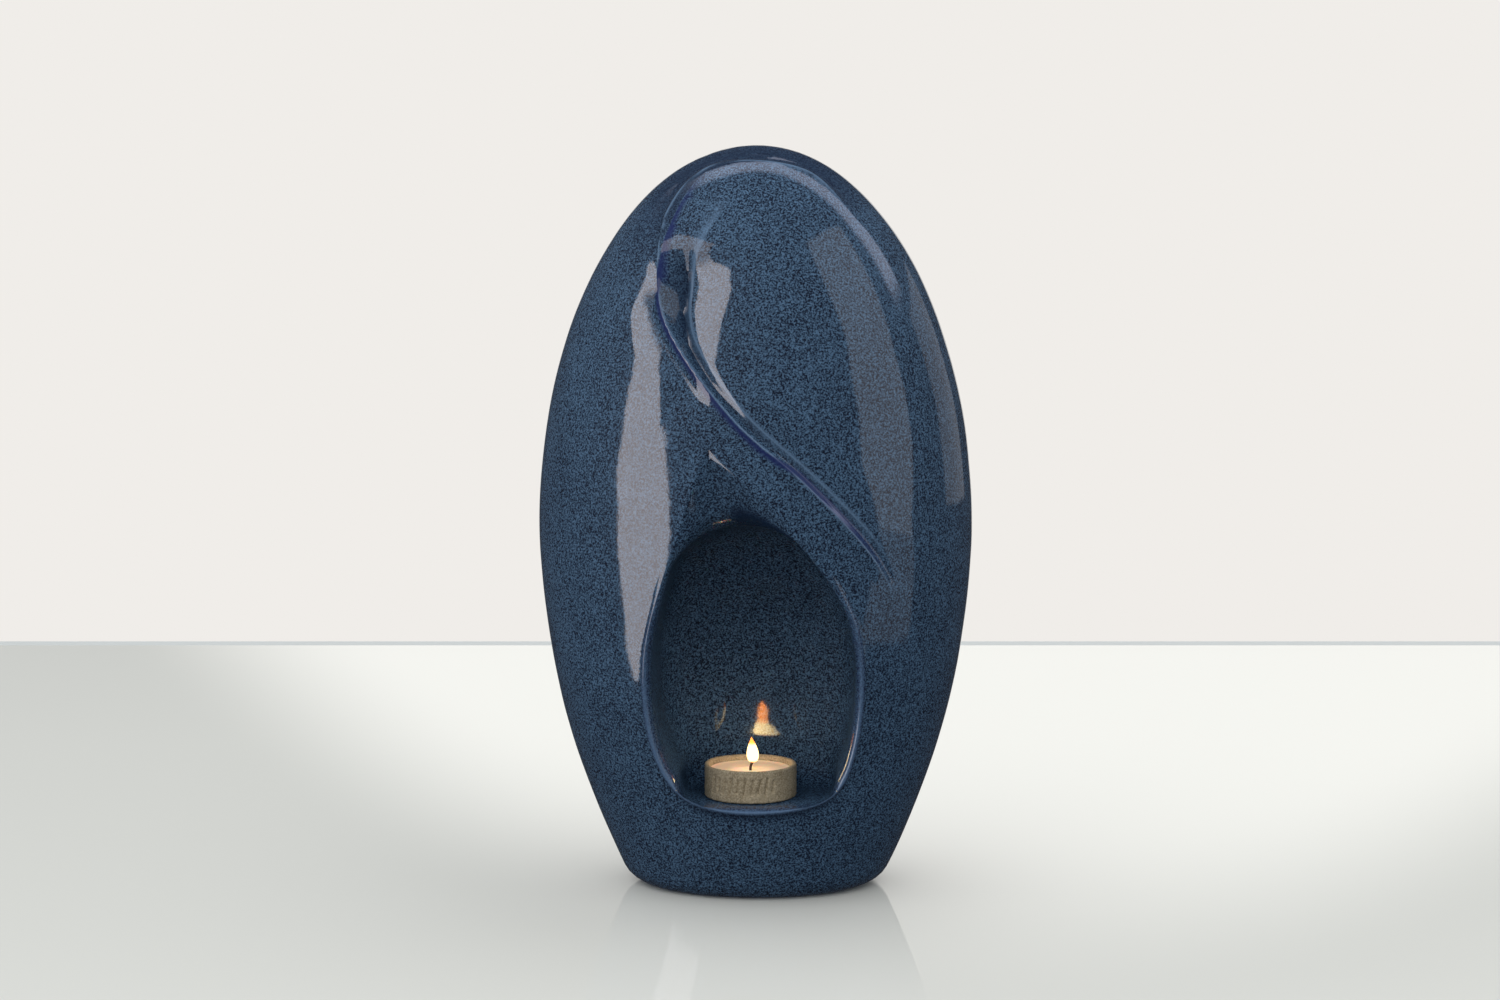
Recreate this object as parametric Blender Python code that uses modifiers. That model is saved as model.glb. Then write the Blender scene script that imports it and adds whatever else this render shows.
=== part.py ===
"""Glazed ceramic funeral urn with a candle niche: an egg-shaped hollow body that stands on an oval foot.

Its front carries a carved swirl, a ridge that loops over the top and runs down across the body, and
a teardrop niche below it that holds a tealight. The ashes go in through a hole in the base, closed by a bung.
Metres, +Z up, the origin on the table under the middle of the foot, the niche facing -Y.
"""

import math

import bmesh
import bpy
import numpy as np
from mathutils import Vector
from mathutils.geometry import delaunay_2d_cdt

# Body
HEIGHT = 0.308
WIDTH = 0.180
DEPTH = 0.137
WIDEST_HEIGHT = 0.1514
FOOT_WIDTH = 0.1044
FOOT_ROUNDING = 0.007
WALL = 0.006
BASE_THICKNESS = 0.0075
FOOT_RING_WIDTH = 0.009
FOOT_RECESS = 0.0028

# Filling hole and bung
HOLE_DIAMETER = 0.040
BUNG_FLANGE = 0.0045
BUNG_FLANGE_THICKNESS = 0.0016
BUNG_REACH = 0.0030
TOUCH_GAP = 0.0003

# Swirl: places on its ridge, from the right of the top, over it and down across the front. Here and in the
# niche's outline x is a share of half the body's width, and z a share of its height.
RIDGE = (
    (0.534, 0.887), (0.233, 0.971), (-0.186, 0.972), (-0.390, 0.892), (-0.411, 0.820),
    (-0.326, 0.753), (-0.057, 0.655), (0.246, 0.577), (0.519, 0.490), (0.682, 0.411),
)
RIDGE_RISE = 0.0008
RIDGE_SPREAD = 0.0035
TROUGH_WIDTH = 0.0060
TROUGH_DEPTH = 0.0084
HOLLOW_WIDTH = 0.0100
LOBE_DROP = 0.0046
LOBE_ROUNDING = 0.014
# The skin steps down outside the ridge, by this depth over this width, and comes back to the egg over the reach
STEP_DEPTH = 0.0021
STEP_WIDTH = 0.0042
STEP_REACH_TOP = 0.012
STEP_REACH_LOW = 0.045
ROLL_WIDTH = 0.0040
# Where across the trough its bottom lies, as shares of the width, when it is shallow and when it is deepest
BOTTOM_SHALLOW = 0.28
BOTTOM_DEEP = 0.62
# Shares of the ridge's length: the step fades in up to the first, the trough grows from the second to the
# third, where it is deepest, it is narrow from the fourth on, and it tapers out from the last.
STEP_FULL = 0.12
TROUGH_STARTS = 0.33
TROUGH_DEEPEST = 0.47
TROUGH_NARROW = 0.56
TAPER_STARTS = 0.83

# Niche: the crest of its lip as a teardrop, and the arch where the hollow goes in under the funnel
TEARDROP = (
    (-0.182, 0.621), (0.176, 0.519), (0.474, 0.385), (0.470, 0.216),
    (0.275, 0.140), (-0.307, 0.154), (-0.466, 0.326), (-0.267, 0.550),
)
ARCH_MIDDLE = (-0.047, 0.357)
ARCH_LEFT = 0.389
ARCH_RIGHT = 0.511
ARCH_RISE = 0.162
NICHE_MIDDLE = (0.010, 0.300)
LIP_RISE = 0.0016
LIP_SPREAD = 0.0024
LIP_HALF_WIDTH = 0.0021
LIP_FADE_FROM = 0.36
LIP_FADE_TO = 0.47
FUNNEL_DEPTH = 0.0105
FUNNEL_REACH = 0.024
FLOOR_ABOVE_LIP = 0.0014
FLOOR_EDGE = 0.005
FLOOR_FILLET = 0.012
LIP_BEND = 0.0016
FUNNEL_BEND = 0.0086
BACK_SAGITTA = 0.006
BACK_ROUNDING = 0.010
FUNNEL_BACK_ROUNDING = 0.030
DOME_FORWARD = 0.024
DOME_TOP = 0.50

# Tealight: a rough stoneware cup, its wax and its wick
CUP_DIAMETER = 0.0384
CUP_HEIGHT = 0.0136
CUP_WALL = 0.0021
CUP_FLOOR = 0.0018
CUP_EDGE = 0.0006
CUP_SETBACK = 0.0035
CUP_REAR_ROOM = 0.0105
CUP_SHIFT = -0.0007
WAX_BELOW_RIM = 0.0030
WAX_CLIMBS = 0.0004
WICK_DIAMETER = 0.0011
WICK_SHOWS = 0.0034
WICK_DEPTH = 0.0050
WICK_LEAN = 0.0013

# Fineness of the faceted body
FRONT_SPACING = 0.0085
BACK_SPACING = 0.0125
ROW_SPACING = 0.0052
NICHE_STEPS = 60
FOOT_STEPS = 44

HALF_WIDTH = WIDTH / 2
DEPTH_SHARE = DEPTH / WIDTH
CENTRE = np.array([0.0, 0.0, WIDEST_HEIGHT])
COLLECTION = "funeral_urn"
CUTTERS = "urn_cutters"


def clear_scene():
    for thing in list(bpy.data.objects):
        bpy.data.objects.remove(thing, do_unlink=True)


def collection(name):
    made = bpy.data.collections.new(name)
    bpy.context.scene.collection.children.link(made)
    return made


def material(name, colour, roughness, metallic=0.0):
    made = bpy.data.materials.new(name)
    made.use_nodes = True
    shader = made.node_tree.nodes["Principled BSDF"]
    shader.inputs["Base Color"].default_value = (*colour, 1.0)
    shader.inputs["Roughness"].default_value = roughness
    shader.inputs["Metallic"].default_value = metallic
    return made


def half_width(z):
    """Half the body's width at height z: half an ellipse above the widest place, a parabola below it."""
    z = np.asarray(z, float)
    dome = np.sqrt(np.clip(1 - ((z - WIDEST_HEIGHT) / (HEIGHT - WIDEST_HEIGHT)) ** 2, 0, 1))
    flank = 1 - (1 - FOOT_WIDTH / WIDTH) * ((WIDEST_HEIGHT - z) / WIDEST_HEIGHT) ** 2
    width = HALF_WIDTH * np.where(z > WIDEST_HEIGHT, dome, flank)
    up = np.clip((FOOT_ROUNDING - z) / FOOT_ROUNDING, 0, 1)
    return width - FOOT_ROUNDING * (1 - np.sqrt(1 - up * up))


def outside(points):
    """Above zero outside the egg and below zero inside it, in metres across."""
    across = np.hypot(points[:, 0], points[:, 1] / DEPTH_SHARE)
    above = np.abs(points[:, 2] - HEIGHT / 2) - HEIGHT / 2
    return np.maximum(across - half_width(points[:, 2]), above)


def on_egg(directions):
    """The points where rays from the middle of the egg leave it."""
    near = np.zeros(len(directions))
    far = np.full(len(directions), HEIGHT + WIDTH)
    for _ in range(44):
        middle = (near + far) / 2
        is_out = outside(CENTRE + middle[:, None] * directions) > 0
        far = np.where(is_out, middle, far)
        near = np.where(is_out, near, middle)
    return CENTRE + near[:, None] * directions


def egg_normals(points):
    step = 1e-5
    across = lambda p: np.hypot(p[:, 0], p[:, 1] / DEPTH_SHARE) - half_width(np.clip(p[:, 2], 0, HEIGHT))
    slopes = np.stack([across(points + a) - across(points - a) for a in np.eye(3) * step], 1)
    slopes[:, 2] = np.clip(slopes[:, 2], -50 * step, 50 * step)
    slopes[np.hypot(points[:, 0], points[:, 1]) < 20 * step] = (0, 0, 1)
    return slopes / np.linalg.norm(slopes, axis=1)[:, None]


def directions_to(points):
    away = points - CENTRE
    return away / np.linalg.norm(away, axis=1)[:, None]


def front_of_egg(x, z):
    """The point of the egg's front at each x and z."""
    x, z = np.asarray(x, float), np.asarray(z, float)
    inside = np.clip(half_width(z) ** 2 - x * x, 1e-8, None)
    return np.stack([x, -DEPTH_SHARE * np.sqrt(inside), z], 1)


def smooth_line(knots, count, closed=False):
    """count values at even shares along a smooth curve through the knots, of any number of columns."""
    knots = np.asarray(knots, float)
    last = len(knots) if closed else len(knots) - 1
    shares = np.linspace(0, last, count, endpoint=not closed)
    place = np.minimum(shares.astype(int), last - 1)
    t = (shares - place)[:, None]
    if closed:
        a, b, c, d = (knots[(place + k) % len(knots)] for k in (-1, 0, 1, 2))
    else:
        padded = np.vstack([2 * knots[0] - knots[1], knots, 2 * knots[-1] - knots[-2]])
        a, b, c, d = (padded[place + k] for k in (0, 1, 2, 3))
    bend = 2 * a - 5 * b + 4 * c - d
    return 0.5 * (2 * b + (c - a) * t + bend * t ** 2 + (3 * b - a - 3 * c + d) * t ** 3)


def evenly(points, count, closed=False):
    """The same line with its points at even distances."""
    ring = np.vstack([points, points[:1]]) if closed else points
    run = np.concatenate([[0], np.cumsum(np.linalg.norm(np.diff(ring, axis=0), axis=1))])
    places = np.linspace(0, run[-1], count, endpoint=not closed)
    return np.stack([np.interp(places, run, ring[:, k]) for k in range(ring.shape[1])], 1)


def from_shares(shares):
    return np.asarray(shares, float) * (HALF_WIDTH, HEIGHT)


def blend(value, start, end):
    """A smooth step from 0 at start to 1 at end."""
    t = np.clip((value - start) / (end - start), 0, 1)
    return t * t * (3 - 2 * t)


def beside(line, sideways, closed=False):
    """The line on the egg moved sideways over it, to the right as it runs seen from outside."""
    if closed:
        ahead = np.roll(line, -1, 0) - np.roll(line, 1, 0)
    else:
        ahead = np.gradient(line, axis=0)
    right = np.cross(ahead, egg_normals(line))
    right /= np.linalg.norm(right, axis=1)[:, None]
    moved = line + right * np.asarray(sideways, float).reshape(-1, 1)
    return on_egg(directions_to(moved))


def ridge_line(count):
    """The swirl's ridge on the egg, at even distances."""
    route = smooth_line(from_shares(RIDGE), 40 * len(RIDGE))
    return evenly(front_of_egg(route[:, 0], route[:, 1]), count)


def swirl_sizes(run):
    """The trough's width and depth, and how far the lobe beyond it drops, at each share of the ridge's length."""
    low = np.clip((1 - run) / (1 - TROUGH_DEEPEST), 0, 1)
    narrow = blend(run, TROUGH_NARROW, TROUGH_DEEPEST - 0.05)
    width = TROUGH_WIDTH * np.clip((1 - run) / (1 - TAPER_STARTS), 0, 1) ** 0.5 + HOLLOW_WIDTH * narrow
    deep = TROUGH_DEPTH * blend(run, TROUGH_STARTS, TROUGH_DEEPEST) * low ** 1.6
    drop = LOBE_DROP * blend(run, TROUGH_STARTS, TROUGH_DEEPEST) * low ** 1.5
    return np.maximum(width, TROUGH_WIDTH / 1000), deep, drop


def roll_width(run):
    """How far outside the ridge the rounded roll round the loop reaches before the skin steps down."""
    return ROLL_WIDTH * blend(run, 0.14, 0.32) * blend(run, 0.42, 0.33)


def step_cut(gap, run):
    """How deep the skin lies under the egg at a distance outside the ridge, at each share of its length."""
    past = np.clip(gap - roll_width(run), 0, None)
    reach = STEP_REACH_TOP + (STEP_REACH_LOW - STEP_REACH_TOP) * blend(run, 0.30, 0.45)
    back = np.clip(1 - np.clip(past - STEP_WIDTH, 0, None) / reach, 0, 1) ** 1.3
    gentle = 1 - blend(run, 0.27, 0.33) * blend(run, 0.42, 0.38) - 0.7 * blend(run, 0.45, 0.51)
    ends = blend(run, 0, STEP_FULL) * blend(run, 1.0, 0.90)
    return STEP_DEPTH * gentle * ends * np.minimum(past / STEP_WIDTH, back)


def teardrop(count):
    """The lip's crest in x and z, from the teardrop's sharp tip, clockwise seen from the front."""
    line = smooth_line(from_shares([*TEARDROP, TEARDROP[0]]), 40 * len(TEARDROP))
    return evenly(line, count + 1)[:-1]


def nearest(line, points):
    """Distance to a line, the index of its nearest point, and the offset from there."""
    best = np.full(len(points), np.inf)
    index = np.zeros(len(points), int)
    for start in range(0, len(points), 4000):
        part = slice(start, start + 4000)
        gaps = np.linalg.norm(points[part, None, :] - line[None, :, :], axis=2)
        index[part] = gaps.argmin(1)
        best[part] = gaps.min(1)
    return best, index, points - line[index]


def side_of(line, normals, index, offset):
    """Above zero on the right of a line, seen from outside, as it runs."""
    ahead = np.roll(line, -1, 0) - np.roll(line, 1, 0)
    ahead[0], ahead[-1] = line[1] - line[0], line[-1] - line[-2]
    right = np.cross(ahead[index], normals)
    return np.einsum("ij,ij->i", right, offset)


def relief(points, normals):
    """How far the carving lifts each point of the egg, in metres. Below zero is cut in."""
    ridge = ridge_line(600)
    gap, at, offset = nearest(ridge, points)
    inside = side_of(ridge, normals, at, offset) < 0
    run = at / (len(ridge) - 1)
    width, deep, drop = swirl_sizes(run)
    share = gap / width
    bottom = BOTTOM_SHALLOW + (BOTTOM_DEEP - BOTTOM_SHALLOW) * deep / TROUGH_DEPTH
    down = deep * np.sin(np.pi / 2 * np.clip(share / bottom, 0, 1))
    up = drop + (deep - drop) * np.cos(np.pi / 2 * np.clip((share - bottom) / (1 - bottom), 0, 1))
    lobe = drop * np.exp(-np.clip(gap - width, 0, None) / LOBE_ROUNDING)
    sunk = np.where(share < bottom, down, np.where(share < 1, up, lobe))
    rise = RIDGE_RISE * blend(run, 0.32, 0.48) * blend(run, 1.0, 0.90) * np.exp(-((gap / RIDGE_SPREAD) ** 2))
    return rise - np.where(inside, sunk, step_cut(gap, run)) + lip_rise(points)


def lip_weight(z):
    """1 where the niche's lip stands proud, and 0 around the teardrop's soft upper end."""
    return blend(z / HEIGHT, LIP_FADE_TO, LIP_FADE_FROM)


def lip_rise(points):
    crest = teardrop(300)
    gap, _, _ = nearest(front_of_egg(crest[:, 0], crest[:, 1]), points)
    return LIP_RISE * lip_weight(points[:, 2]) * np.exp(-((gap / LIP_SPREAD) ** 2))


def carved(points):
    """Points of the egg moved out or in to the carved surface."""
    normals = egg_normals(points)
    return points + normals * relief(points, normals)[:, None]


def flatten(directions):
    """Stereographic map of directions from the middle, with the top at its centre."""
    return directions[:, :2] / (1 + directions[:, 2:3])


def unflatten(flat):
    spread = (flat ** 2).sum(1)
    up = (1 - spread) / (1 + spread)
    return np.column_stack([flat * (1 + up)[:, None], up])


def foot_loop(z, count):
    turn = np.arange(count) / count * 2 * np.pi
    half = float(half_width(z))
    return np.column_stack([half * np.cos(turn), DEPTH_SHARE * half * np.sin(turn), np.full(count, z)])


def scattered(spacing, keep):
    """Points over the egg about spacing apart, in rings, where keep says so of their y."""
    rings = []
    heights = np.linspace(0, HEIGHT, 4000)
    widths = half_width(heights)
    run = np.concatenate([[0], np.cumsum(np.hypot(np.diff(widths), np.diff(heights)))])
    levels = np.interp(np.arange(0.5 * spacing, run[-1], 0.87 * spacing), run, heights)
    for row, z in enumerate(levels):
        half = float(half_width(z))
        around = np.pi * half * (1 + DEPTH_SHARE)
        number = max(5, round(around / spacing))
        turn = (np.arange(number) + 0.5 * (row % 2)) / number * 2 * np.pi
        x, y = half * np.cos(turn), DEPTH_SHARE * half * np.sin(turn)
        ring = np.column_stack([x, y, np.full(number, z)])
        rings.append(ring[keep(ring[:, 1])])
    return np.vstack(rings)


def build_skin():
    """The carved outer skin, with a hole at the niche's lip and another at the foot."""
    length = np.linalg.norm(np.diff(ridge_line(200), axis=0), axis=1).sum()
    steps = round(length / ROW_SPACING)
    ridge = ridge_line(steps)
    run = np.linspace(0, 1, steps)
    width, _, _ = swirl_sizes(run)
    wide = (width > 0.2 * TROUGH_WIDTH) & (run > TROUGH_STARTS - 0.05)
    lip = teardrop(NICHE_STEPS)
    lip = front_of_egg(lip[:, 0], lip[:, 1])
    loops = [lip] + [foot_loop(share * FOOT_ROUNDING, FOOT_STEPS) for share in (0, 0.15, 0.5, 1)]
    rows = [ridge, beside(ridge, roll_width(run) + STEP_WIDTH)]
    rows += [beside(ridge, -t * width)[wide] for t in (0.30, 0.62, 1)]
    fixed, edges = [], []
    for line in loops + rows:
        first = len(fixed)
        fixed.extend(line)
        edges += [(first + k, first + k + 1) for k in range(len(line) - 1)]
        if len(fixed) <= sum(len(loop) for loop in loops):
            edges.append((first + len(line) - 1, first))
    utmost = np.vstack([foot_loop(WIDEST_HEIGHT, 4), (0, 0, HEIGHT)])
    taken = np.vstack([fixed, utmost])
    proud = lip_weight(lip[:, 2]) > 0.05
    cloud = [beside(lip, -1.5 * LIP_SPREAD, True)[proud], beside(ridge, roll_width(run) + STEP_WIDTH + ROW_SPACING)]
    cloud += [beside(ridge, -width - k * ROW_SPACING) for k in (0.7, 1.6, 3.0)]
    cloud += [scattered(FRONT_SPACING, lambda y: y < 0), scattered(BACK_SPACING, lambda y: y >= 0)]
    gaps = [0.5 * ROW_SPACING] * 2 + [0.6 * ROW_SPACING] * 3 + [0.62 * FRONT_SPACING, 0.6 * BACK_SPACING]
    for points, apart in zip(cloud, gaps):
        points = on_egg(directions_to(points))
        gap, _, _ = nearest(taken, points)
        points = spaced(points[(gap > apart) & (points[:, 2] > 1.1 * FOOT_ROUNDING)], apart)
        if len(points):
            taken = np.vstack([taken, points])
    flat = flatten(directions_to(taken))
    made = delaunay_2d_cdt([Vector(p) for p in flat.tolist()], edges, [], 0, 1e-7, False)
    places = np.array([tuple(v) for v in made[0]])
    egg = on_egg(unflatten(places))
    skin = carved(egg)
    skin[egg[:, 2] < 1e-6, 2] = 0
    mouth, foot = flatten(directions_to(loops[0])), flatten(directions_to(loops[1]))
    middles = [places[list(face)].mean(0) for face in made[2]]
    faces = [f for f, m in zip(made[2], middles) if not within(mouth, m) and within(foot, m)]
    return skin, faces, carved(lip)


def spaced(points, apart):
    """The points without those closer than apart to one kept before."""
    kept = []
    for p in points:
        if all(np.dot(p - q, p - q) > apart * apart for q in kept):
            kept.append(p)
    return np.array(kept)


def within(ring, point):
    """Whether a flat point lies inside a closed ring."""
    x, y = point
    a, b = ring, np.roll(ring, -1, 0)
    crosses = (a[:, 1] > y) != (b[:, 1] > y)
    height = np.where(b[:, 1] == a[:, 1], 1e-12, b[:, 1] - a[:, 1])
    left = x < a[:, 0] + (y - a[:, 1]) / height * (b[:, 0] - a[:, 0])
    return bool((crosses & left).sum() % 2)


def floor_height():
    """The niche's floor, a little above the lowest place of the lip's crest."""
    return float(teardrop(400)[:, 1].min()) + FLOOR_ABOVE_LIP


def lip_front():
    """How far forward the inside of the lip stands at its lowest place."""
    low = teardrop(400)
    low = low[low[:, 1].argmin()]
    return float(front_of_egg(low[:1], low[1:])[0, 1]) + LIP_HALF_WIDTH


def cup_middle():
    """Where the tealight stands: x and y of its axis."""
    return CUP_SHIFT, lip_front() + CUP_SETBACK + CUP_DIAMETER / 2


def back_wall(x, z, floor):
    """y of the niche's back: hollow from side to side, and leaning forward to the top as a dome."""
    x0, y0 = cup_middle()
    deepest = y0 + CUP_DIAMETER / 2 + CUP_REAR_ROOM
    half = (ARCH_LEFT + ARCH_RIGHT) / 2 * HALF_WIDTH
    rise = np.clip((z - floor) / (DOME_TOP * HEIGHT - floor), 0, 1)
    return deepest - BACK_SAGITTA * ((x - x0) / half) ** 2 - DOME_FORWARD * rise ** 3


def mouth_of(lip):
    """The mouth's edge on the way from each place of the lip's crest to the niche's middle, in x and z.

    It keeps inside the lip, and under the funnel it follows the arch. The second value is how far the funnel
    reaches from the lip to it.
    """
    middle = from_shares(NICHE_MIDDLE)
    away = lip - middle
    reach = np.linalg.norm(away, axis=1)
    away /= reach[:, None]
    arch = from_shares(ARCH_MIDDLE)
    near, far = np.zeros(len(lip)), reach.copy()
    for _ in range(30):
        half = (near + far) / 2
        off = middle + away * half[:, None] - arch
        side = np.where(off[:, 0] < 0, ARCH_LEFT, ARCH_RIGHT) * HALF_WIDTH
        above = (off[:, 0] / side) ** 2 + (off[:, 1] / (ARCH_RISE * HEIGHT)) ** 2 > 1
        is_out = above & (off[:, 1] > 0)
        far = np.where(is_out, half, far)
        near = np.where(is_out, near, half)
    inner = np.minimum(near, reach - LIP_HALF_WIDTH)
    mouth = middle + away * inner[:, None]
    floor = floor_height()
    up = mouth[:, 1] - floor
    mouth[:, 1] = floor + np.clip(up, 0, None) * blend(up, FLOOR_EDGE, FLOOR_FILLET)
    return mouth, np.clip(reach - inner - LIP_HALF_WIDTH, 0, None)


def rounded(corners, radii, steps):
    """Points along each row's line of corners, with an arc-like bend in place of each inner corner."""
    out = [corners[:, 0]]
    count = corners.shape[1]
    for k in range(1, count - 1):
        before, here, after = corners[:, k - 1], corners[:, k], corners[:, k + 1]
        back, ahead = before - here, after - here
        short = np.minimum(np.linalg.norm(back, axis=1), np.linalg.norm(ahead, axis=1))
        cut = np.minimum(radii[k - 1], 0.48 * short)
        start = here + back * (cut / np.linalg.norm(back, axis=1))[:, None]
        end = here + ahead * (cut / np.linalg.norm(ahead, axis=1))[:, None]
        for t in np.linspace(0, 1, steps):
            out.append((1 - t) ** 2 * start + 2 * t * (1 - t) * here + t * t * end)
    out.append(corners[:, -1])
    return np.stack(out, 1)


def niche_corners(lip, grow=0.0):
    """For each place of the lip: the crest, the mouth's edge, the back's corner and the back's middle.

    grow moves them out and back by a wall, which makes the block that the ash chamber goes round.
    """
    floor = floor_height()
    middle = from_shares(NICHE_MIDDLE)
    mouth, funnel = mouth_of(lip)
    soft = np.sin(np.pi / 2 * np.clip(funnel / FUNNEL_REACH, 0, 1))
    up = mouth[:, 1] - floor
    narrower = 0.045 * blend(up, 0, 0.020) + 0.10 * soft
    corner = middle + (mouth - middle) * (1 - narrower)[:, None]
    corner[:, 1] = floor + (corner[:, 1] - floor) * blend(up, 0, FLOOR_FILLET)
    outward = (lip - middle) / np.linalg.norm(lip - middle, axis=1)[:, None] * grow
    crest = front_of_egg(lip[:, 0], lip[:, 1])
    edge = front_of_egg(mouth[:, 0], mouth[:, 1])
    edge[:, 1] += 0.6 * LIP_HALF_WIDTH * (1 - soft) + FUNNEL_DEPTH * soft
    back = np.column_stack([corner[:, 0], back_wall(corner[:, 0], corner[:, 1], floor), corner[:, 1]])
    centre = np.array([middle[0], back_wall(middle[0], middle[1], floor), middle[1]])
    centre = np.tile(centre, (len(lip), 1))
    for ring in (crest, edge, back):
        ring[:, 0] += outward[:, 0]
        ring[:, 2] += outward[:, 1]
    for ring in (edge, back, centre):
        ring[:, 1] += grow
    return crest, edge, back, centre, soft


def niche_rings(lip_xz, lip_points, steps):
    """Rings of the niche's hollow from the lip's crest to the middle of its back."""
    _, edge, back, centre, soft = niche_corners(lip_xz)
    corners = np.stack([lip_points, edge, back, centre], 1)
    return rounded(corners, [lip_bend(soft), back_bend(soft)], steps)


def lip_bend(soft):
    return LIP_BEND + (FUNNEL_BEND - LIP_BEND) * soft


def back_bend(soft):
    return BACK_ROUNDING + (FUNNEL_BACK_ROUNDING - BACK_ROUNDING) * soft


def mesh_object(name, verts, faces, where, look=None):
    mesh = bpy.data.meshes.new(name)
    mesh.from_pydata([tuple(v) for v in verts], [], faces)
    made = bpy.data.objects.new(name, mesh)
    where.objects.link(made)
    if look:
        mesh.materials.append(look)
    return made


def ring_faces(first, second):
    """Faces between two closed rings of vertex numbers."""
    count = len(first)
    return [(first[k], first[(k + 1) % count], second[(k + 1) % count], second[k]) for k in range(count)]


def outer_shell(where, look):
    """The whole outside of the body as one closed mesh: skin, niche and a flat underside."""
    skin, faces, lip_points = build_skin()
    lip_xz = teardrop(NICHE_STEPS)
    rings = niche_rings(lip_xz, lip_points, 3)
    verts = list(skin)
    numbers = []
    for k in range(rings.shape[1] - 1):
        numbers.append(range(len(verts), len(verts) + len(rings)))
        verts.extend(rings[:, k])
    pole = len(verts)
    verts.append(rings[0, -1])
    for outer, inner in zip(numbers, numbers[1:]):
        faces += ring_faces(list(outer), list(inner))
    last = list(numbers[-1])
    faces += [(last[k], last[(k + 1) % len(last)], pole) for k in range(len(last))]
    made = mesh_object("urn_body", verts, faces, where, look)
    shape = bmesh.new()
    shape.from_mesh(made.data)
    bmesh.ops.remove_doubles(shape, verts=shape.verts, dist=2e-5)
    bmesh.ops.holes_fill(shape, edges=[e for e in shape.edges if e.is_boundary], sides=0)
    bmesh.ops.recalc_face_normals(shape, faces=shape.faces)
    shape.to_mesh(made.data)
    shape.free()
    return made


def chamber_surface(points, normals):
    """The egg's points moved in by the wall, and further in behind the swirl's trough."""
    ridge = ridge_line(300)
    gap, at, offset = nearest(ridge, points)
    run = at / (len(ridge) - 1)
    width, deep, _ = swirl_sizes(run)
    beyond = np.clip(gap - width, 0, None)
    extra = (deep + RIDGE_RISE) * np.exp(-((beyond / LOBE_ROUNDING) ** 2))
    outward = side_of(ridge, normals, at, offset) > 0
    extra = np.where(outward, deep * np.exp(-((gap / WALL) ** 2)) + step_cut(gap, run), extra)
    inner = points - normals * (WALL + extra)[:, None]
    inner[:, 2] = np.maximum(inner[:, 2], BASE_THICKNESS)
    return inner


def ash_chamber(where):
    """The hollow for the ashes: the egg less its wall, with the niche's walled block taken out of it."""
    shape = bmesh.new()
    bmesh.ops.create_uvsphere(shape, u_segments=32, v_segments=22, radius=1)
    shape.verts.ensure_lookup_table()
    turned = np.array([tuple(v.co) for v in shape.verts])
    points = on_egg(turned / np.linalg.norm(turned, axis=1)[:, None])
    inner = chamber_surface(points, egg_normals(points))
    for vert, place in zip(shape.verts, inner):
        vert.co = place
    mesh = bpy.data.meshes.new("ash_chamber")
    bmesh.ops.recalc_face_normals(shape, faces=shape.faces)
    shape.to_mesh(mesh)
    shape.free()
    made = bpy.data.objects.new("ash_chamber", mesh)
    where.objects.link(made)
    cut(made, niche_block(where))
    return made


def niche_block(where):
    """The niche's hollow grown by a wall all round, and run out past the front."""
    lip = teardrop(40)
    crest, edge, back, centre, soft = niche_corners(lip, WALL)
    front = crest.copy()
    front[:, 1] = -DEPTH
    crest[:, 1] += WALL
    corners = np.stack([front, crest, edge, back, centre], 1)
    rings = rounded(corners, [WALL / 6 + 0 * soft, WALL / 2 + 0 * soft, back_bend(soft)], 2)
    verts, numbers, faces = [], [], []
    for k in range(rings.shape[1] - 1):
        numbers.append(list(range(len(verts), len(verts) + len(rings))))
        verts.extend(rings[:, k])
    verts.append(rings[0, -1])
    for outer, inner in zip(numbers, numbers[1:]):
        faces += ring_faces(outer, inner)
    last = numbers[-1]
    faces += [(last[k], last[(k + 1) % len(last)], len(verts) - 1) for k in range(len(last))]
    faces.append(tuple(reversed(numbers[0])))
    made = mesh_object("niche_block", verts, faces, where)
    shape = bmesh.new()
    shape.from_mesh(made.data)
    bmesh.ops.recalc_face_normals(shape, faces=shape.faces)
    shape.to_mesh(made.data)
    shape.free()
    return hide(made)


def hide(thing):
    thing.hide_render = True
    thing.display_type = "WIRE"
    return thing


def cut(target, tool):
    trim = target.modifiers.new("cut_" + tool.name, "BOOLEAN")
    trim.operation = "DIFFERENCE"
    trim.object = tool
    trim.solver = "EXACT"


def round_cutter(name, diameter, low, high, where, stretch=1.0):
    bpy.ops.mesh.primitive_cylinder_add(
        vertices=40, radius=diameter / 2, depth=high - low, location=(0, 0, (low + high) / 2)
    )
    made = bpy.context.active_object
    made.name = name
    made.scale.y = stretch
    bpy.ops.object.transform_apply(location=False, rotation=False, scale=True)
    for old in list(made.users_collection):
        old.objects.unlink(made)
    where.objects.link(made)
    return hide(made)


def make_body(where, cutters):
    glaze = material("blue_glaze", (0.035, 0.085, 0.17), 0.12)
    body = outer_shell(where, glaze)
    cut(body, hide(ash_chamber(cutters)))
    recess_half = half_width(np.zeros(1))[0] - FOOT_RING_WIDTH
    cut(body, round_cutter("foot_recess", 2 * recess_half, -WALL, FOOT_RECESS, cutters, DEPTH_SHARE))
    hole_top = BASE_THICKNESS + WALL / 2
    cut(body, round_cutter("filling_hole", HOLE_DIAMETER, -WALL, hole_top, cutters))
    body.data.shade_smooth()
    body.data.set_sharp_from_angle(angle=math.radians(35))
    return body


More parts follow.
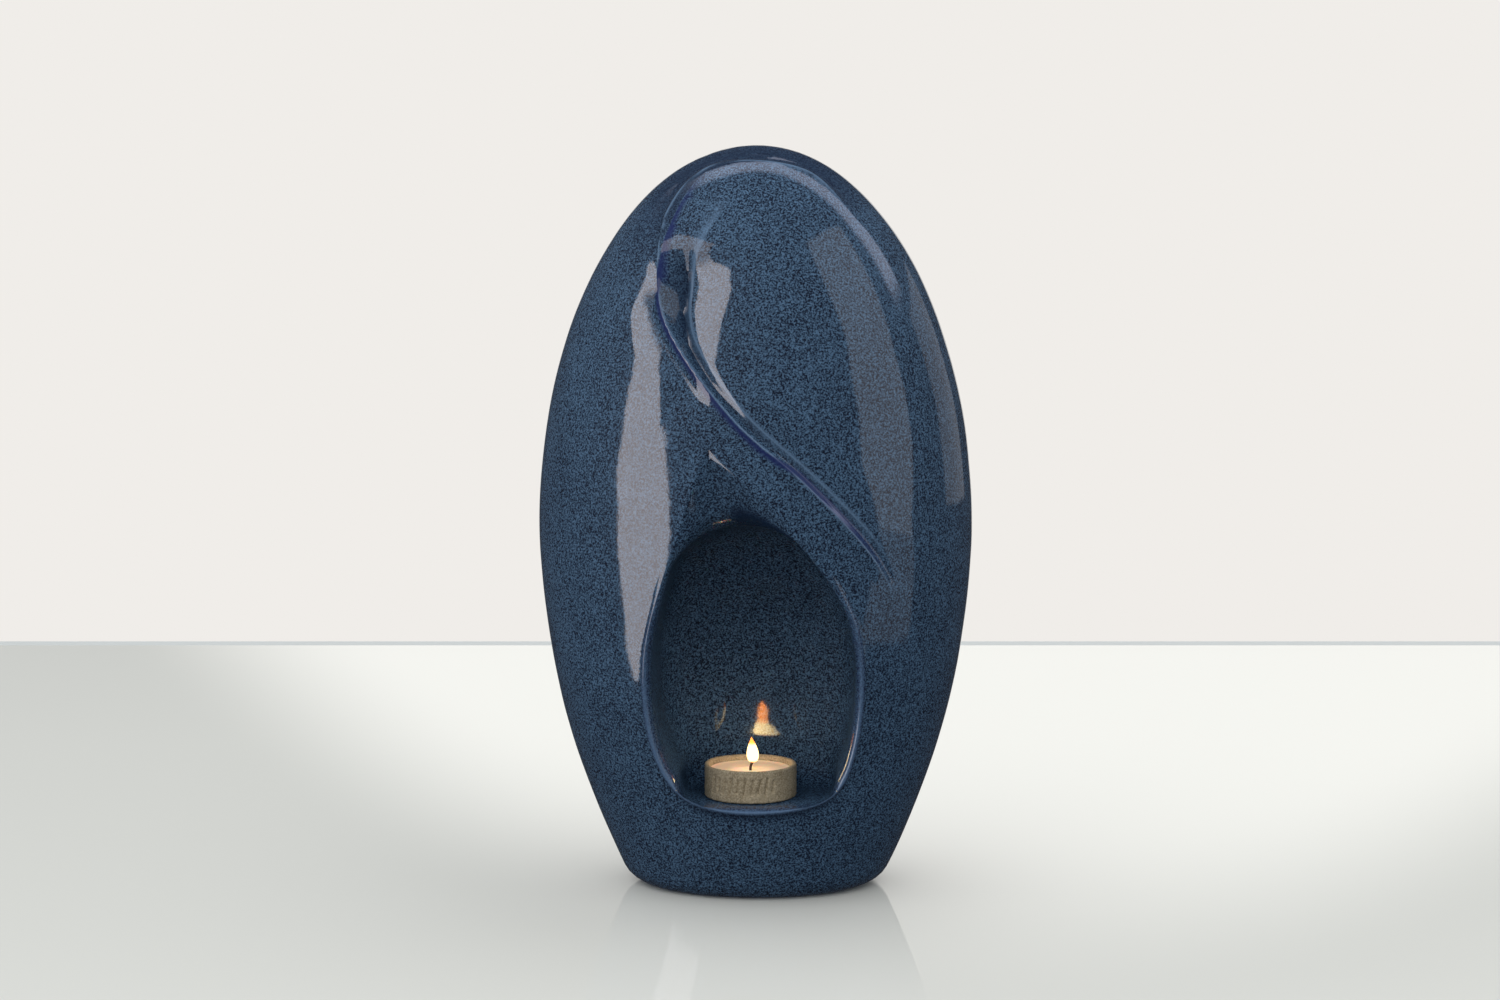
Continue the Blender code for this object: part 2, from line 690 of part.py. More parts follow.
def turned(name, profile, where, look, place=(0, 0, 0), steps=40):
    """A turned solid from its profile of radius and height, which runs down its outer side."""
    mesh = bpy.data.meshes.new(name)
    mesh.from_pydata([(r, 0, z) for r, z in profile], [(k, k + 1) for k in range(len(profile) - 1)], [])
    made = bpy.data.objects.new(name, mesh)
    where.objects.link(made)
    mesh.materials.append(look)
    made.location = place
    screw = made.modifiers.new("turn", "SCREW")
    screw.steps = screw.render_steps = steps
    screw.use_merge_vertices = True
    screw.merge_threshold = 0.00001
    screw.use_smooth_shade = True
    return made


def make_bung(where):
    rubber = material("black_rubber", (0.02, 0.02, 0.022), 0.7)
    stem = HOLE_DIAMETER / 2 - TOUCH_GAP
    flange = HOLE_DIAMETER / 2 + BUNG_FLANGE
    shoulder = FOOT_RECESS - TOUCH_GAP
    under = shoulder - BUNG_FLANGE_THICKNESS
    top = BASE_THICKNESS + BUNG_REACH
    soft = BUNG_FLANGE_THICKNESS / 4
    profile = [
        (0, top), (stem - 2 * soft, top), (stem - soft, top - soft), (stem, BASE_THICKNESS),
        (stem, shoulder), (flange - soft, shoulder), (flange, shoulder - soft),
        (flange, under + soft), (flange - soft, under), (0, under),
    ]
    return turned("base_bung", profile, where, rubber)


def make_tealight(where):
    stoneware = material("pale_stoneware", (0.42, 0.36, 0.26), 0.85)
    wax = material("ivory_wax", (0.86, 0.72, 0.58), 0.35)
    cotton = material("charred_wick", (0.03, 0.022, 0.018), 0.9)
    x, y = cup_middle()
    stand = floor_height() + TOUCH_GAP
    outer = CUP_DIAMETER / 2
    inner = outer - CUP_WALL
    cup = [
        (0, CUP_FLOOR), (inner - CUP_EDGE, CUP_FLOOR), (inner, CUP_FLOOR + CUP_EDGE),
        (inner, CUP_HEIGHT - CUP_EDGE), (inner + CUP_EDGE, CUP_HEIGHT),
        (outer - CUP_EDGE, CUP_HEIGHT), (outer, CUP_HEIGHT - CUP_EDGE),
        (outer, CUP_EDGE), (outer - CUP_EDGE, 0), (0, 0),
    ]
    turned("tealight_cup", cup, where, stoneware, (x, y, stand))
    wax_top = CUP_HEIGHT - WAX_BELOW_RIM
    wax_low = CUP_FLOOR + TOUCH_GAP
    wax_half = inner - TOUCH_GAP
    bore = WICK_DIAMETER / 2 + TOUCH_GAP
    bore_low = wax_top - WICK_DEPTH
    disc = [
        (0, bore_low), (bore, bore_low), (bore, wax_top), (0.7 * wax_half, wax_top),
        (wax_half, wax_top + WAX_CLIMBS), (wax_half, wax_low + CUP_EDGE),
        (wax_half - CUP_EDGE, wax_low), (0, wax_low),
    ]
    turned("tealight_wax", disc, where, wax, (x, y, stand))
    foot = Vector((x, y, stand + bore_low + TOUCH_GAP))
    leave = Vector((x, y, stand + wax_top + TOUCH_GAP))
    make_wick(foot, leave, where, cotton)


def make_wick(foot, leave, where, look):
    """A wick that stands straight in the wax and bends over to the right above it."""
    curve = bpy.data.curves.new("wick", "CURVE")
    curve.dimensions = "3D"
    curve.bevel_depth = WICK_DIAMETER / 2
    curve.bevel_resolution = 1
    curve.use_fill_caps = True
    steps = 5
    route = [foot, leave]
    for k in range(1, steps + 1):
        share = k / steps
        route.append(leave + Vector((WICK_LEAN * share ** 2, 0, WICK_SHOWS * share)))
    line = curve.splines.new("POLY")
    line.points.add(len(route) - 1)
    for point, place in zip(line.points, route):
        point.co = (*place, 1)
    curve.materials.append(look)
    drawn = bpy.data.objects.new("wick_line", curve)
    where.objects.link(drawn)
    mesh = bpy.data.meshes.new_from_object(drawn)
    bpy.data.objects.remove(drawn)
    shape = bmesh.new()
    shape.from_mesh(mesh)
    bmesh.ops.remove_doubles(shape, verts=shape.verts, dist=WICK_DIAMETER / 50)
    bmesh.ops.recalc_face_normals(shape, faces=shape.faces)
    shape.to_mesh(mesh)
    shape.free()
    mesh.shade_smooth()
    mesh.set_sharp_from_angle(angle=math.radians(40))
    made = bpy.data.objects.new("tealight_wick", mesh)
    where.objects.link(made)
    return made


def main():
    clear_scene()
    pieces = collection(COLLECTION)
    cutters = collection(CUTTERS)
    make_body(pieces, cutters)
    make_bung(pieces)
    make_tealight(pieces)


main()
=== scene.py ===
"""The looks of the glazed funeral urn: carved skin, speckled blue glaze, lit tealight, studio light.

Metres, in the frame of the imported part: +Z up from the table, the niche facing -Y.
"""

import math

import bmesh
import bpy
import numpy as np
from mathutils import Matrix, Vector, noise
from mathutils.geometry import delaunay_2d_cdt
from mathutils.kdtree import KDTree


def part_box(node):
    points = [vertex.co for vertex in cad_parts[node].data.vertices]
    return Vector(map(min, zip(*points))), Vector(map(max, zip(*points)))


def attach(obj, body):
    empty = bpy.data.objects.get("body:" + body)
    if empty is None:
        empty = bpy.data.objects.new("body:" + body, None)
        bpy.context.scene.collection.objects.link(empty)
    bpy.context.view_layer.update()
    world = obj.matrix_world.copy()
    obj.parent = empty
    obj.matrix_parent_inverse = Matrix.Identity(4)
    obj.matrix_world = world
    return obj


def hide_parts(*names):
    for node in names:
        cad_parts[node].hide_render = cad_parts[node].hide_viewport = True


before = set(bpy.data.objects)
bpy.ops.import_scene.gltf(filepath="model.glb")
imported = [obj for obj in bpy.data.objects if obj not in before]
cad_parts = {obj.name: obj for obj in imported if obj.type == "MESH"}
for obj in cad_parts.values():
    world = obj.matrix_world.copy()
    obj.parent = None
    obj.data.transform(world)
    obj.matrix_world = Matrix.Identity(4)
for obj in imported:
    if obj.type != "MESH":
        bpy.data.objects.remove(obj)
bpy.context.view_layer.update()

# The body, as the part has it
HEIGHT = 0.308
WIDTH = 0.180
DEPTH = 0.137
WIDEST_HEIGHT = 0.1514
FOOT_WIDTH = 0.1044
FOOT_ROUNDING = 0.007
FOOT_RING_WIDTH = 0.009
FOOT_RECESS = 0.0028
HOLE_DIAMETER = 0.040
BASE_THICKNESS = 0.0075

RIDGE = (
    (0.534, 0.887), (0.233, 0.971), (-0.186, 0.972), (-0.390, 0.892), (-0.411, 0.820),
    (-0.326, 0.753), (-0.057, 0.655), (0.246, 0.577), (0.519, 0.490), (0.682, 0.411),
)
RIDGE_RISE = 0.0008
RIDGE_REACH = 0.0080
RIDGE_ROUNDING = 0.0004
STEP_DEPTH = 0.0021
STEP_WIDTH = 0.0042
STEP_BACK_TOP = 0.012
STEP_BACK_LOW = 0.045
ROLL_WIDTH = 0.0040
STEP_NARROWING = 0.75
STEP_EASING = 0.70

# At shares of the ridge's length: the trough's width, its depth, and how far the lobe beyond it drops
SWIRL = (
    (0.28, 0.0190, 0.0000, 0.0000),
    (0.37, 0.0170, 0.0001, 0.0001),
    (0.40, 0.0160, 0.0030, 0.0010),
    (0.43, 0.0143, 0.0068, 0.0038),
    (0.46, 0.0123, 0.0080, 0.0045),
    (0.50, 0.0092, 0.0080, 0.0046),
    (0.54, 0.0067, 0.0062, 0.0038),
    (0.60, 0.0056, 0.0042, 0.0026),
    (0.68, 0.0051, 0.0030, 0.0018),
    (0.80, 0.0049, 0.0022, 0.0012),
    (0.90, 0.0054, 0.0016, 0.0007),
    (0.96, 0.0040, 0.0006, 0.0002),
    (1.00, 0.0010, 0.0000, 0.0000),
)
TROUGH_FALL = 0.8
LOWER_RUN = 0.30

# Paint, with painted highlight and painted shade among it: how wide its lines and highlights are, how
# strong it and the shade lie, and how deep the trough is before its pooled glaze and painted shade are full
COBALT_EDGE = 0.0017
COBALT_FULL = 0.0007
LIP_COBALT = 0.25
THIN_ON_CREST = 0.0006
# Widths of the painted highlight along the ridge's edge and on the lower lip
HIGHLIGHT_ON_EDGE = 0.0004
HIGHLIGHT_ON_LIP = 0.0007
# The trough's pooled glaze and painted shade are full at this depth
POOL_AND_SHADE_DEPTH = 0.010
# Strength of the painted shade outside the top loop
LOOP_SHADE = 0.85
# Strength of the painted shade under the lip
LIP_SHADE = 0.60
DULL_START = 0.60
DULL_CREASE = 0.92

# The cobalt line: shares of the ridge's length, and how far outside the ridge it runs there
STRIPE_SHARES = (0.25, 0.31, 0.40, 0.46, 0.72, 0.77, 0.95)
STRIPE_ASIDE = (-0.0014, -0.0016, -0.0022, 0.0013, 0.0016, -0.0013, -0.0013)
LOBE_REACH = 0.036
BAND_REACH = 0.016
BOTTOM_LOW = 0.42
BOTTOM_HIGH = 0.72

TEARDROP = (
    (-0.182, 0.621), (0.176, 0.519), (0.474, 0.385), (0.470, 0.216),
    (0.275, 0.140), (-0.307, 0.154), (-0.466, 0.326), (-0.267, 0.550),
)
ARCH_MIDDLE = (-0.047, 0.357)
ARCH_LEFT = 0.389
ARCH_RIGHT = 0.511
ARCH_RISE = 0.162
NICHE_MIDDLE = (0.010, 0.300)
LIP_RISE = 0.0020
LIP_HALF_WIDTH = 0.0021
LIP_INNER_DEPTH = 0.0032
LIP_FADE_FROM = 0.36
LIP_FADE_TO = 0.47
FUNNEL_DEPTH = 0.0105
FUNNEL_REACH = 0.024
FLOOR_ABOVE_LIP = 0.0014
FLOOR_EDGE = 0.005
FLOOR_FILLET = 0.012
FUNNEL_BEND = 0.0086
BACK_SAGITTA = 0.006
BACK_ROUNDING = 0.016
FUNNEL_BACK_ROUNDING = 0.030
DOME_FORWARD = 0.024
DOME_TOP = 0.50

# Hand-made unevenness of the skin: how far it wanders and over what length
WANDER = 0.00042
WANDER_LENGTH = 0.044

# Fineness
FRONT_SPACING = 0.0024
BACK_SPACING = 0.0042
ROW_SPACING = 0.0013
TENTH_MM = 0.0001
NICHE_STEPS = 340
FOOT_STEPS = 180

HALF_WIDTH = WIDTH / 2
DEPTH_SHARE = DEPTH / WIDTH
CENTRE = np.array([0.0, 0.0, WIDEST_HEIGHT])
PIECES = bpy.data.collections.new("urn_looks")
bpy.context.scene.collection.children.link(PIECES)


# The egg

def half_width(z):
    """Half the body's width at height z: half an ellipse above the widest place, a parabola below it."""
    z = np.asarray(z, float)
    dome = np.sqrt(np.clip(1 - ((z - WIDEST_HEIGHT) / (HEIGHT - WIDEST_HEIGHT)) ** 2, 0, 1))
    flank = 1 - (1 - FOOT_WIDTH / WIDTH) * ((WIDEST_HEIGHT - z) / WIDEST_HEIGHT) ** 2
    width = HALF_WIDTH * np.where(z > WIDEST_HEIGHT, dome, flank)
    up = np.clip((FOOT_ROUNDING - z) / FOOT_ROUNDING, 0, 1)
    return width - FOOT_ROUNDING * (1 - np.sqrt(1 - up * up))


def outside(points):
    """Above zero outside the egg and below zero inside it, in metres across."""
    across = np.hypot(points[:, 0], points[:, 1] / DEPTH_SHARE)
    above = np.abs(points[:, 2] - HEIGHT / 2) - HEIGHT / 2
    return np.maximum(across - half_width(points[:, 2]), above)


def on_egg(directions):
    """The points where rays from the middle of the egg leave it."""
    near = np.zeros(len(directions))
    far = np.full(len(directions), HEIGHT + WIDTH)
    for _ in range(44):
        middle = (near + far) / 2
        is_out = outside(CENTRE + middle[:, None] * directions) > 0
        far = np.where(is_out, middle, far)
        near = np.where(is_out, near, middle)
    return CENTRE + near[:, None] * directions


def egg_normals(points):
    step = 1e-5
    across = lambda p: np.hypot(p[:, 0], p[:, 1] / DEPTH_SHARE) - half_width(np.clip(p[:, 2], 0, HEIGHT))
    slopes = np.stack([across(points + a) - across(points - a) for a in np.eye(3) * step], 1)
    slopes[:, 2] = np.clip(slopes[:, 2], -50 * step, 50 * step)
    slopes[np.hypot(points[:, 0], points[:, 1]) < 20 * step] = (0, 0, 1)
    return slopes / np.linalg.norm(slopes, axis=1)[:, None]


def directions_to(points):
    away = points - CENTRE
    return away / np.linalg.norm(away, axis=1)[:, None]


def front_of_egg(x, z):
    """The point of the egg's front at each x and z."""
    x, z = np.asarray(x, float), np.asarray(z, float)
    inside = np.clip(half_width(z) ** 2 - x * x, 1e-8, None)
    return np.stack([x, -DEPTH_SHARE * np.sqrt(inside), z], 1)


# Lines on the egg

def smooth_line(knots, count):
    """count places at even shares along a smooth curve through the knots."""
    knots = np.asarray(knots, float)
    last = len(knots) - 1
    shares = np.linspace(0, last, count)
    place = np.minimum(shares.astype(int), last - 1)
    t = (shares - place)[:, None]
    padded = np.vstack([2 * knots[0] - knots[1], knots, 2 * knots[-1] - knots[-2]])
    a, b, c, d = (padded[place + k] for k in (0, 1, 2, 3))
    bend = 2 * a - 5 * b + 4 * c - d
    return 0.5 * (2 * b + (c - a) * t + bend * t ** 2 + (3 * b - a - 3 * c + d) * t ** 3)


def evenly(points, count):
    """The same line with its points at even distances."""
    run = np.concatenate([[0], np.cumsum(np.linalg.norm(np.diff(points, axis=0), axis=1))])
    places = np.linspace(0, run[-1], count)
    return np.stack([np.interp(places, run, points[:, k]) for k in range(points.shape[1])], 1)


def from_shares(shares):
    return np.asarray(shares, float) * (HALF_WIDTH, HEIGHT)


def blend(value, start, end):
    """A smooth step from 0 at start to 1 at end."""
    t = np.clip((value - start) / (end - start), 0, 1)
    return t * t * (3 - 2 * t)


def beside(line, sideways, closed=False):
    """The line on the egg moved sideways over it, to the right as it runs seen from outside."""
    if closed:
        ahead = np.roll(line, -1, 0) - np.roll(line, 1, 0)
    else:
        ahead = np.gradient(line, axis=0)
    right = np.cross(ahead, egg_normals(line))
    right /= np.linalg.norm(right, axis=1)[:, None]
    moved = line + right * np.asarray(sideways, float).reshape(-1, 1)
    return on_egg(directions_to(moved))


def ridge_line(count):
    """The swirl's ridge on the egg, at even distances."""
    route = smooth_line(from_shares(RIDGE), 40 * len(RIDGE))
    return evenly(front_of_egg(route[:, 0], route[:, 1]), count)


def swirl_sizes(run):
    """The trough's width and depth and the lobe's drop, at shares of the ridge's length."""
    smooth = smooth_line(SWIRL, 400)
    return [np.interp(run, smooth[:, 0], np.clip(smooth[:, k], 1e-5, None)) for k in (1, 2, 3)]


def teardrop(count):
    """The lip's crest in x and z, from the teardrop's sharp tip, clockwise seen from the front."""
    line = smooth_line(from_shares([*TEARDROP, TEARDROP[0]]), 40 * len(TEARDROP))
    return evenly(line, count + 1)[:-1]


def nearest(line, points):
    """Distance to a line, the index of its nearest point, and the offset from there."""
    tree = KDTree(len(line))
    for k, place in enumerate(line):
        tree.insert(place, k)
    tree.balance()
    index = np.array([tree.find(p)[1] for p in points])
    offset = points - line[index]
    return np.linalg.norm(offset, axis=1), index, offset


def side_of(line, normals, index, offset):
    """Above zero on the right of a line, seen from outside, as it runs."""
    ahead = np.roll(line, -1, 0) - np.roll(line, 1, 0)
    ahead[0], ahead[-1] = line[1] - line[0], line[-1] - line[-2]
    right = np.cross(ahead[index], normals)
    return np.einsum("ij,ij->i", right, offset)


# The carving

def wander(points):
    """Slow unevenness of a hand-smoothed surface, about between -1 and 1."""
    slow = np.array([noise.noise(p) for p in points / WANDER_LENGTH])
    quick = np.array([noise.noise(p) for p in points / (0.36 * WANDER_LENGTH)])
    return slow + 0.22 * quick


def trough_bottom(run):
    """The share of the trough's width at which it is deepest."""
    return BOTTOM_LOW + (BOTTOM_HIGH - BOTTOM_LOW) * blend(run, 0.56, 0.44)


def rolled_edge(run):
    """How far outside the ridge the step starts: the left part of the loop has a rolled edge."""
    return ROLL_WIDTH * blend(run, 0.14, 0.32) * blend(run, 0.41, 0.33)


def step_down(soft, run, roll):
    """Depth of the step outside the ridge as a share: down over its width, then slowly up again."""
    past = np.clip(soft - roll, 0, None)
    step_width = STEP_WIDTH * (1 - STEP_NARROWING * blend(run, 0.32, 0.37) * blend(run, 0.475, 0.45))
    back_reach = STEP_BACK_TOP + (STEP_BACK_LOW - STEP_BACK_TOP) * blend(run, 0.56, 0.66)
    back = np.clip(1 - np.clip(past - step_width, 0, None) / back_reach, 0, 1) ** 1.3
    gentle = 1 - STEP_EASING * blend(run, 0.57, 0.63)
    return gentle * np.minimum(past / step_width, back)


def lobe_drop(points, ridge):
    """How far the lobe beyond the trough lies below the egg."""
    lower = ridge[int(LOWER_RUN * len(ridge)):]
    far, at, _ = nearest(lower, points)
    run = LOWER_RUN + (1 - LOWER_RUN) * at / (len(lower) - 1)
    width, _, drop = swirl_sizes(run)
    reach = BAND_REACH + (LOBE_REACH - BAND_REACH) * blend(run, 0.75, 0.50)
    lobe = drop * np.clip(far / width / trough_bottom(run), 0, 1) ** TROUGH_FALL
    return lobe * np.clip(1 - np.clip(far - width, 0, None) / reach, 0, 1) ** 2


def relief(points, normals):
    """How far the carving lifts each point of the egg, in metres, and the paint masks there."""
    ridge = ridge_line(2400)
    gap, at, offset = nearest(ridge, points)
    inside = side_of(ridge, normals, at, offset) < 0
    signed = np.where(inside, -gap, gap)
    run = at / (len(ridge) - 1)
    width, deep, drop = swirl_sizes(run)
    soft = np.sqrt(gap ** 2 + RIDGE_ROUNDING ** 2) - RIDGE_ROUNDING
    share = soft / width
    strong = blend(run, 0, 0.12) * blend(run, 1.0, 0.90)

    roll = rolled_edge(run)
    step = STEP_DEPTH * strong * np.where(inside, 0, step_down(soft, run, roll))
    lift = RIDGE_RISE * strong * blend(run, 0.32, 0.48) * (1 - 0.7 * blend(run, 0.48, 0.56))
    rise = lift * np.exp(-((soft / RIDGE_REACH) ** 2)) - step
    bottom = trough_bottom(run)
    climb = np.clip((share - bottom) / (1 - bottom), 0, 1)
    trough = (deep - drop) * np.where(share < bottom, (share / bottom) ** TROUGH_FALL, 1 - climb)
    lobe = lobe_drop(points, ridge)

    crest = teardrop(1200)
    to_lip, _, _ = nearest(front_of_egg(crest[:, 0], crest[:, 1]), points)
    proud = lip_weight(points[:, 2])
    lip = proud * np.sqrt(np.clip(1 - (to_lip / LIP_HALF_WIDTH) ** 2, 0, 1))
    height = rise - np.where(inside, trough + lobe, 0) + LIP_RISE * lip - WANDER * (1 + wander(points))

    # Cobalt lies in a line beside the ridge and, weaker, on the lip
    beside_ridge = blend(run, 0.25, 0.34) * blend(run, 0.98, 0.85)
    stripe = np.interp(run, STRIPE_SHARES, STRIPE_ASIDE)
    cobalt = beside_ridge * blend(np.abs(signed - stripe), COBALT_EDGE, COBALT_FULL)
    cobalt = np.maximum(cobalt, LIP_COBALT * proud * blend(to_lip, 0.0023, 0.0016))

    # Paler blue where the glaze runs thin over the trough's far crest, and painted highlight on the
    # trough's lit flank, along the ridge's edge and on the lower lip
    flank = np.where(inside & (share < 1), climb ** 0.7, 0)
    on_crest = np.exp(-(((gap - width) / THIN_ON_CREST) ** 2)) * inside
    thin_glaze_and_highlight = np.maximum(0.35 * flank, on_crest) * beside_ridge
    thin_glaze_and_highlight = np.maximum(thin_glaze_and_highlight, 0.9 * strong * np.exp(-(((signed - roll) / HIGHLIGHT_ON_EDGE) ** 2)))
    lit_low_lip = proud * blend(points[:, 2], 0.16, 0.05)
    thin_glaze_and_highlight = np.maximum(thin_glaze_and_highlight, lit_low_lip * np.exp(-((to_lip / HIGHLIGHT_ON_LIP) ** 2)))

    # Darker in the trough, pooled glaze and painted shade together, and painted shade outside the top loop
    # and under the lip
    shade_round_loop = LOOP_SHADE * strong * blend(run, 0.45, 0.28) * blend(gap, 0.030, 0.012)
    pool_and_shade = np.where(inside, np.where(share < 1, (trough + lobe) / POOL_AND_SHADE_DEPTH, 0), shade_round_loop)
    shade_under_lip = blend(to_lip, 0.0018, 0.0026) * blend(to_lip, 0.0062, 0.0030)
    pool_and_shade = np.maximum(pool_and_shade, LIP_SHADE * shade_under_lip * blend(points[:, 2], 0.050, 0.034))

    # It is dull where the trough starts and in the crease outside the ridge
    matt = DULL_START * inside * blend(run, 0.33, 0.36) * blend(run, 0.43, 0.41) * blend(share, 1.7, 1.2)
    crease = blend(signed, 0.0004, 0.0012) * blend(signed, 0.0078, 0.0058)
    matt = np.maximum(matt, DULL_CREASE * crease * blend(run, 0.44, 0.46) * blend(run, 0.60, 0.56))
    return height, cobalt, np.clip(thin_glaze_and_highlight, 0, 1), pool_and_shade, matt


def lip_weight(z):
    """1 where the niche's lip stands proud, and 0 around the teardrop's soft upper end."""
    return blend(z / HEIGHT, LIP_FADE_TO, LIP_FADE_FROM)


def flatten(directions):
    """Stereographic map of directions from the middle, with the top at its centre."""
    return directions[:, :2] / (1 + directions[:, 2:3])


def unflatten(flat):
    spread = (flat ** 2).sum(1)
    up = (1 - spread) / (1 + spread)
    return np.column_stack([flat * (1 + up)[:, None], up])


def foot_loop(z, count):
    turn = np.arange(count) / count * 2 * np.pi
    half = float(half_width(z))
    return np.column_stack([half * np.cos(turn), DEPTH_SHARE * half * np.sin(turn), np.full(count, z)])


def scattered(spacing, keep):
    """Points over the egg about spacing apart, in rings, where keep says so of their y."""
    rings = []
    heights = np.linspace(0, HEIGHT, 4000)
    widths = half_width(heights)
    run = np.concatenate([[0], np.cumsum(np.hypot(np.diff(widths), np.diff(heights)))])
    levels = np.interp(np.arange(0.5 * spacing, run[-1], 0.87 * spacing), run, heights)
    for row, z in enumerate(levels):
        half = float(half_width(z))
        around = np.pi * half * (1 + DEPTH_SHARE)
        number = max(5, round(around / spacing))
        turn = (np.arange(number) + 0.5 * (row % 2)) / number * 2 * np.pi
        x, y = half * np.cos(turn), DEPTH_SHARE * half * np.sin(turn)
        ring = np.column_stack([x, y, np.full(number, z)])
        rings.append(ring[keep(ring[:, 1])])
    return np.vstack(rings)


def spaced(points, taken, apart):
    """The points without those closer than apart to a taken one or to one kept before."""
    gap, _, _ = nearest(taken, points)
    points = points[gap > apart]
    if not len(points):
        return points
    tree = KDTree(len(points))
    for k, place in enumerate(points):
        tree.insert(place, k)
    tree.balance()
    keep = np.ones(len(points), bool)
    for k, place in enumerate(points):
        if keep[k]:
            for _, other, _ in tree.find_range(place, apart):
                if other > k:
                    keep[other] = False
    return points[keep]


def within(ring, points):
    """Whether flat points lie inside a closed ring."""
    a, b = ring, np.roll(ring, -1, 0)
    inside = np.zeros(len(points), bool)
    for (ax, ay), (bx, by) in zip(a, b):
        crosses = (ay > points[:, 1]) != (by > points[:, 1])
        rise = by - ay if by != ay else 1e-12
        inside ^= crosses & (points[:, 0] < ax + (points[:, 1] - ay) / rise * (bx - ax))
    return inside


def build_skin():
    """The carved outer skin: points, faces, masks, and which points lie on the lip and on the foot."""
    length = np.linalg.norm(np.diff(ridge_line(200), axis=0), axis=1).sum()
    steps = round(length / ROW_SPACING)
    ridge = ridge_line(steps)
    width, _, _ = swirl_sizes(np.linspace(0, 1, steps))
    wide = (width > 0.0035) & (np.linspace(0, 1, steps) > 0.26)
    lip = teardrop(NICHE_STEPS)
    lip = front_of_egg(lip[:, 0], lip[:, 1])
    loops = [lip, foot_loop(0, FOOT_STEPS)]
    loops += [foot_loop(share * FOOT_ROUNDING, FOOT_STEPS) for share in (0.04, 0.15, 0.35, 0.65, 1)]
    rows = [ridge] + [beside(ridge, -t * width)[wide] for t in (0.30, 0.45, 0.60, 0.75, 0.88, 1)]
    rows += [beside(ridge, k * TENTH_MM) for k in (3, 7, 13)]
    rows += [beside(ridge, -k * TENTH_MM)[wide] for k in (3, 7, 12)]
    low = np.linspace(0, 1, steps) > 0.45
    rows += [beside(ridge, STEP_WIDTH + k * TENTH_MM)[low] for k in (-3, 3)]
    around_lip = [beside(lip, -k * TENTH_MM, True) for k in (4, 9, 13, 17, 19, 21, 26)]
    rows += [np.vstack([row, row[:1]]) for row in around_lip]
    fixed, edges = [], []
    for line in loops + rows:
        first = len(fixed)
        fixed.extend(line)
        edges += [(first + k, first + k + 1) for k in range(len(line) - 1)]
        if len(fixed) <= sum(len(loop) for loop in loops):
            edges.append((first + len(line) - 1, first))
    taken = np.array(fixed)
    cloud = [(beside(lip, -9 * k * TENTH_MM, True), 7 * TENTH_MM) for k in (4, 5, 6)]
    cloud += [(beside(ridge, 10 * k * TENTH_MM), 8 * TENTH_MM) for k in (2, 3, 4, 5, 6)]
    cloud += [(beside(ridge, -width - k * ROW_SPACING)[wide], 9 * TENTH_MM) for k in (1, 2, 3.2, 4.6)]
    cloud += [(scattered(FRONT_SPACING, lambda y: y < 0), 0.62 * FRONT_SPACING)]
    cloud += [(scattered(BACK_SPACING, lambda y: y >= 0), 0.6 * BACK_SPACING)]
    for points, apart in cloud:
        points = on_egg(directions_to(points))
        points = points[points[:, 2] > 1.1 * FOOT_ROUNDING]
        taken = np.vstack([taken, spaced(points, taken, apart)])
    flat = flatten(directions_to(taken))
    made = delaunay_2d_cdt([Vector(p) for p in flat.tolist()], edges, [], 0, 1e-9, True)
    places = np.array([tuple(v) for v in made[0]])
    number = {old: new for new, olds in enumerate(made[3]) for old in olds}
    egg = on_egg(unflatten(places))
    normals = egg_normals(egg)
    height, *masks = relief(egg, normals)
    skin = egg + normals * height[:, None]
    skin[egg[:, 2] < 1e-6, 2] = 0
    middles = np.array([places[list(face)].mean(0) for face in made[2]])
    keep = within(flat[len(lip):len(lip) + FOOT_STEPS], middles) & ~within(flat[:len(lip)], middles)
    faces = [face for face, kept in zip(made[2], keep) if kept]
    lip_numbers = [number[k] for k in range(len(lip))]
    foot_numbers = [number[len(lip) + k] for k in range(FOOT_STEPS)]
    return skin, faces, masks, lip_numbers, foot_numbers


# The niche

def floor_height():
    """The niche's floor, a little above the lowest place of the lip's crest."""
    return float(teardrop(400)[:, 1].min()) + FLOOR_ABOVE_LIP


CUP_LOW, CUP_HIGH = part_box("tealight_cup")
CUP_MIDDLE = Vector(((CUP_LOW[0] + CUP_HIGH[0]) / 2, (CUP_LOW[1] + CUP_HIGH[1]) / 2, CUP_LOW[2]))
CUP_RADIUS = (CUP_HIGH[0] - CUP_LOW[0]) / 2
CUP_HEIGHT = CUP_HIGH[2] - CUP_LOW[2]
CUP_REAR_ROOM = 0.0105


def back_wall(x, z, floor):
    """y of the niche's back: concave from side to side, and leaning forward to the top as a dome."""
    deepest = CUP_MIDDLE.y + CUP_RADIUS + CUP_REAR_ROOM
    half = (ARCH_LEFT + ARCH_RIGHT) / 2 * HALF_WIDTH
    rise = np.clip((z - floor) / (DOME_TOP * HEIGHT - floor), 0, 1)
    return deepest - BACK_SAGITTA * ((x - CUP_MIDDLE.x) / half) ** 2 - DOME_FORWARD * rise ** 3


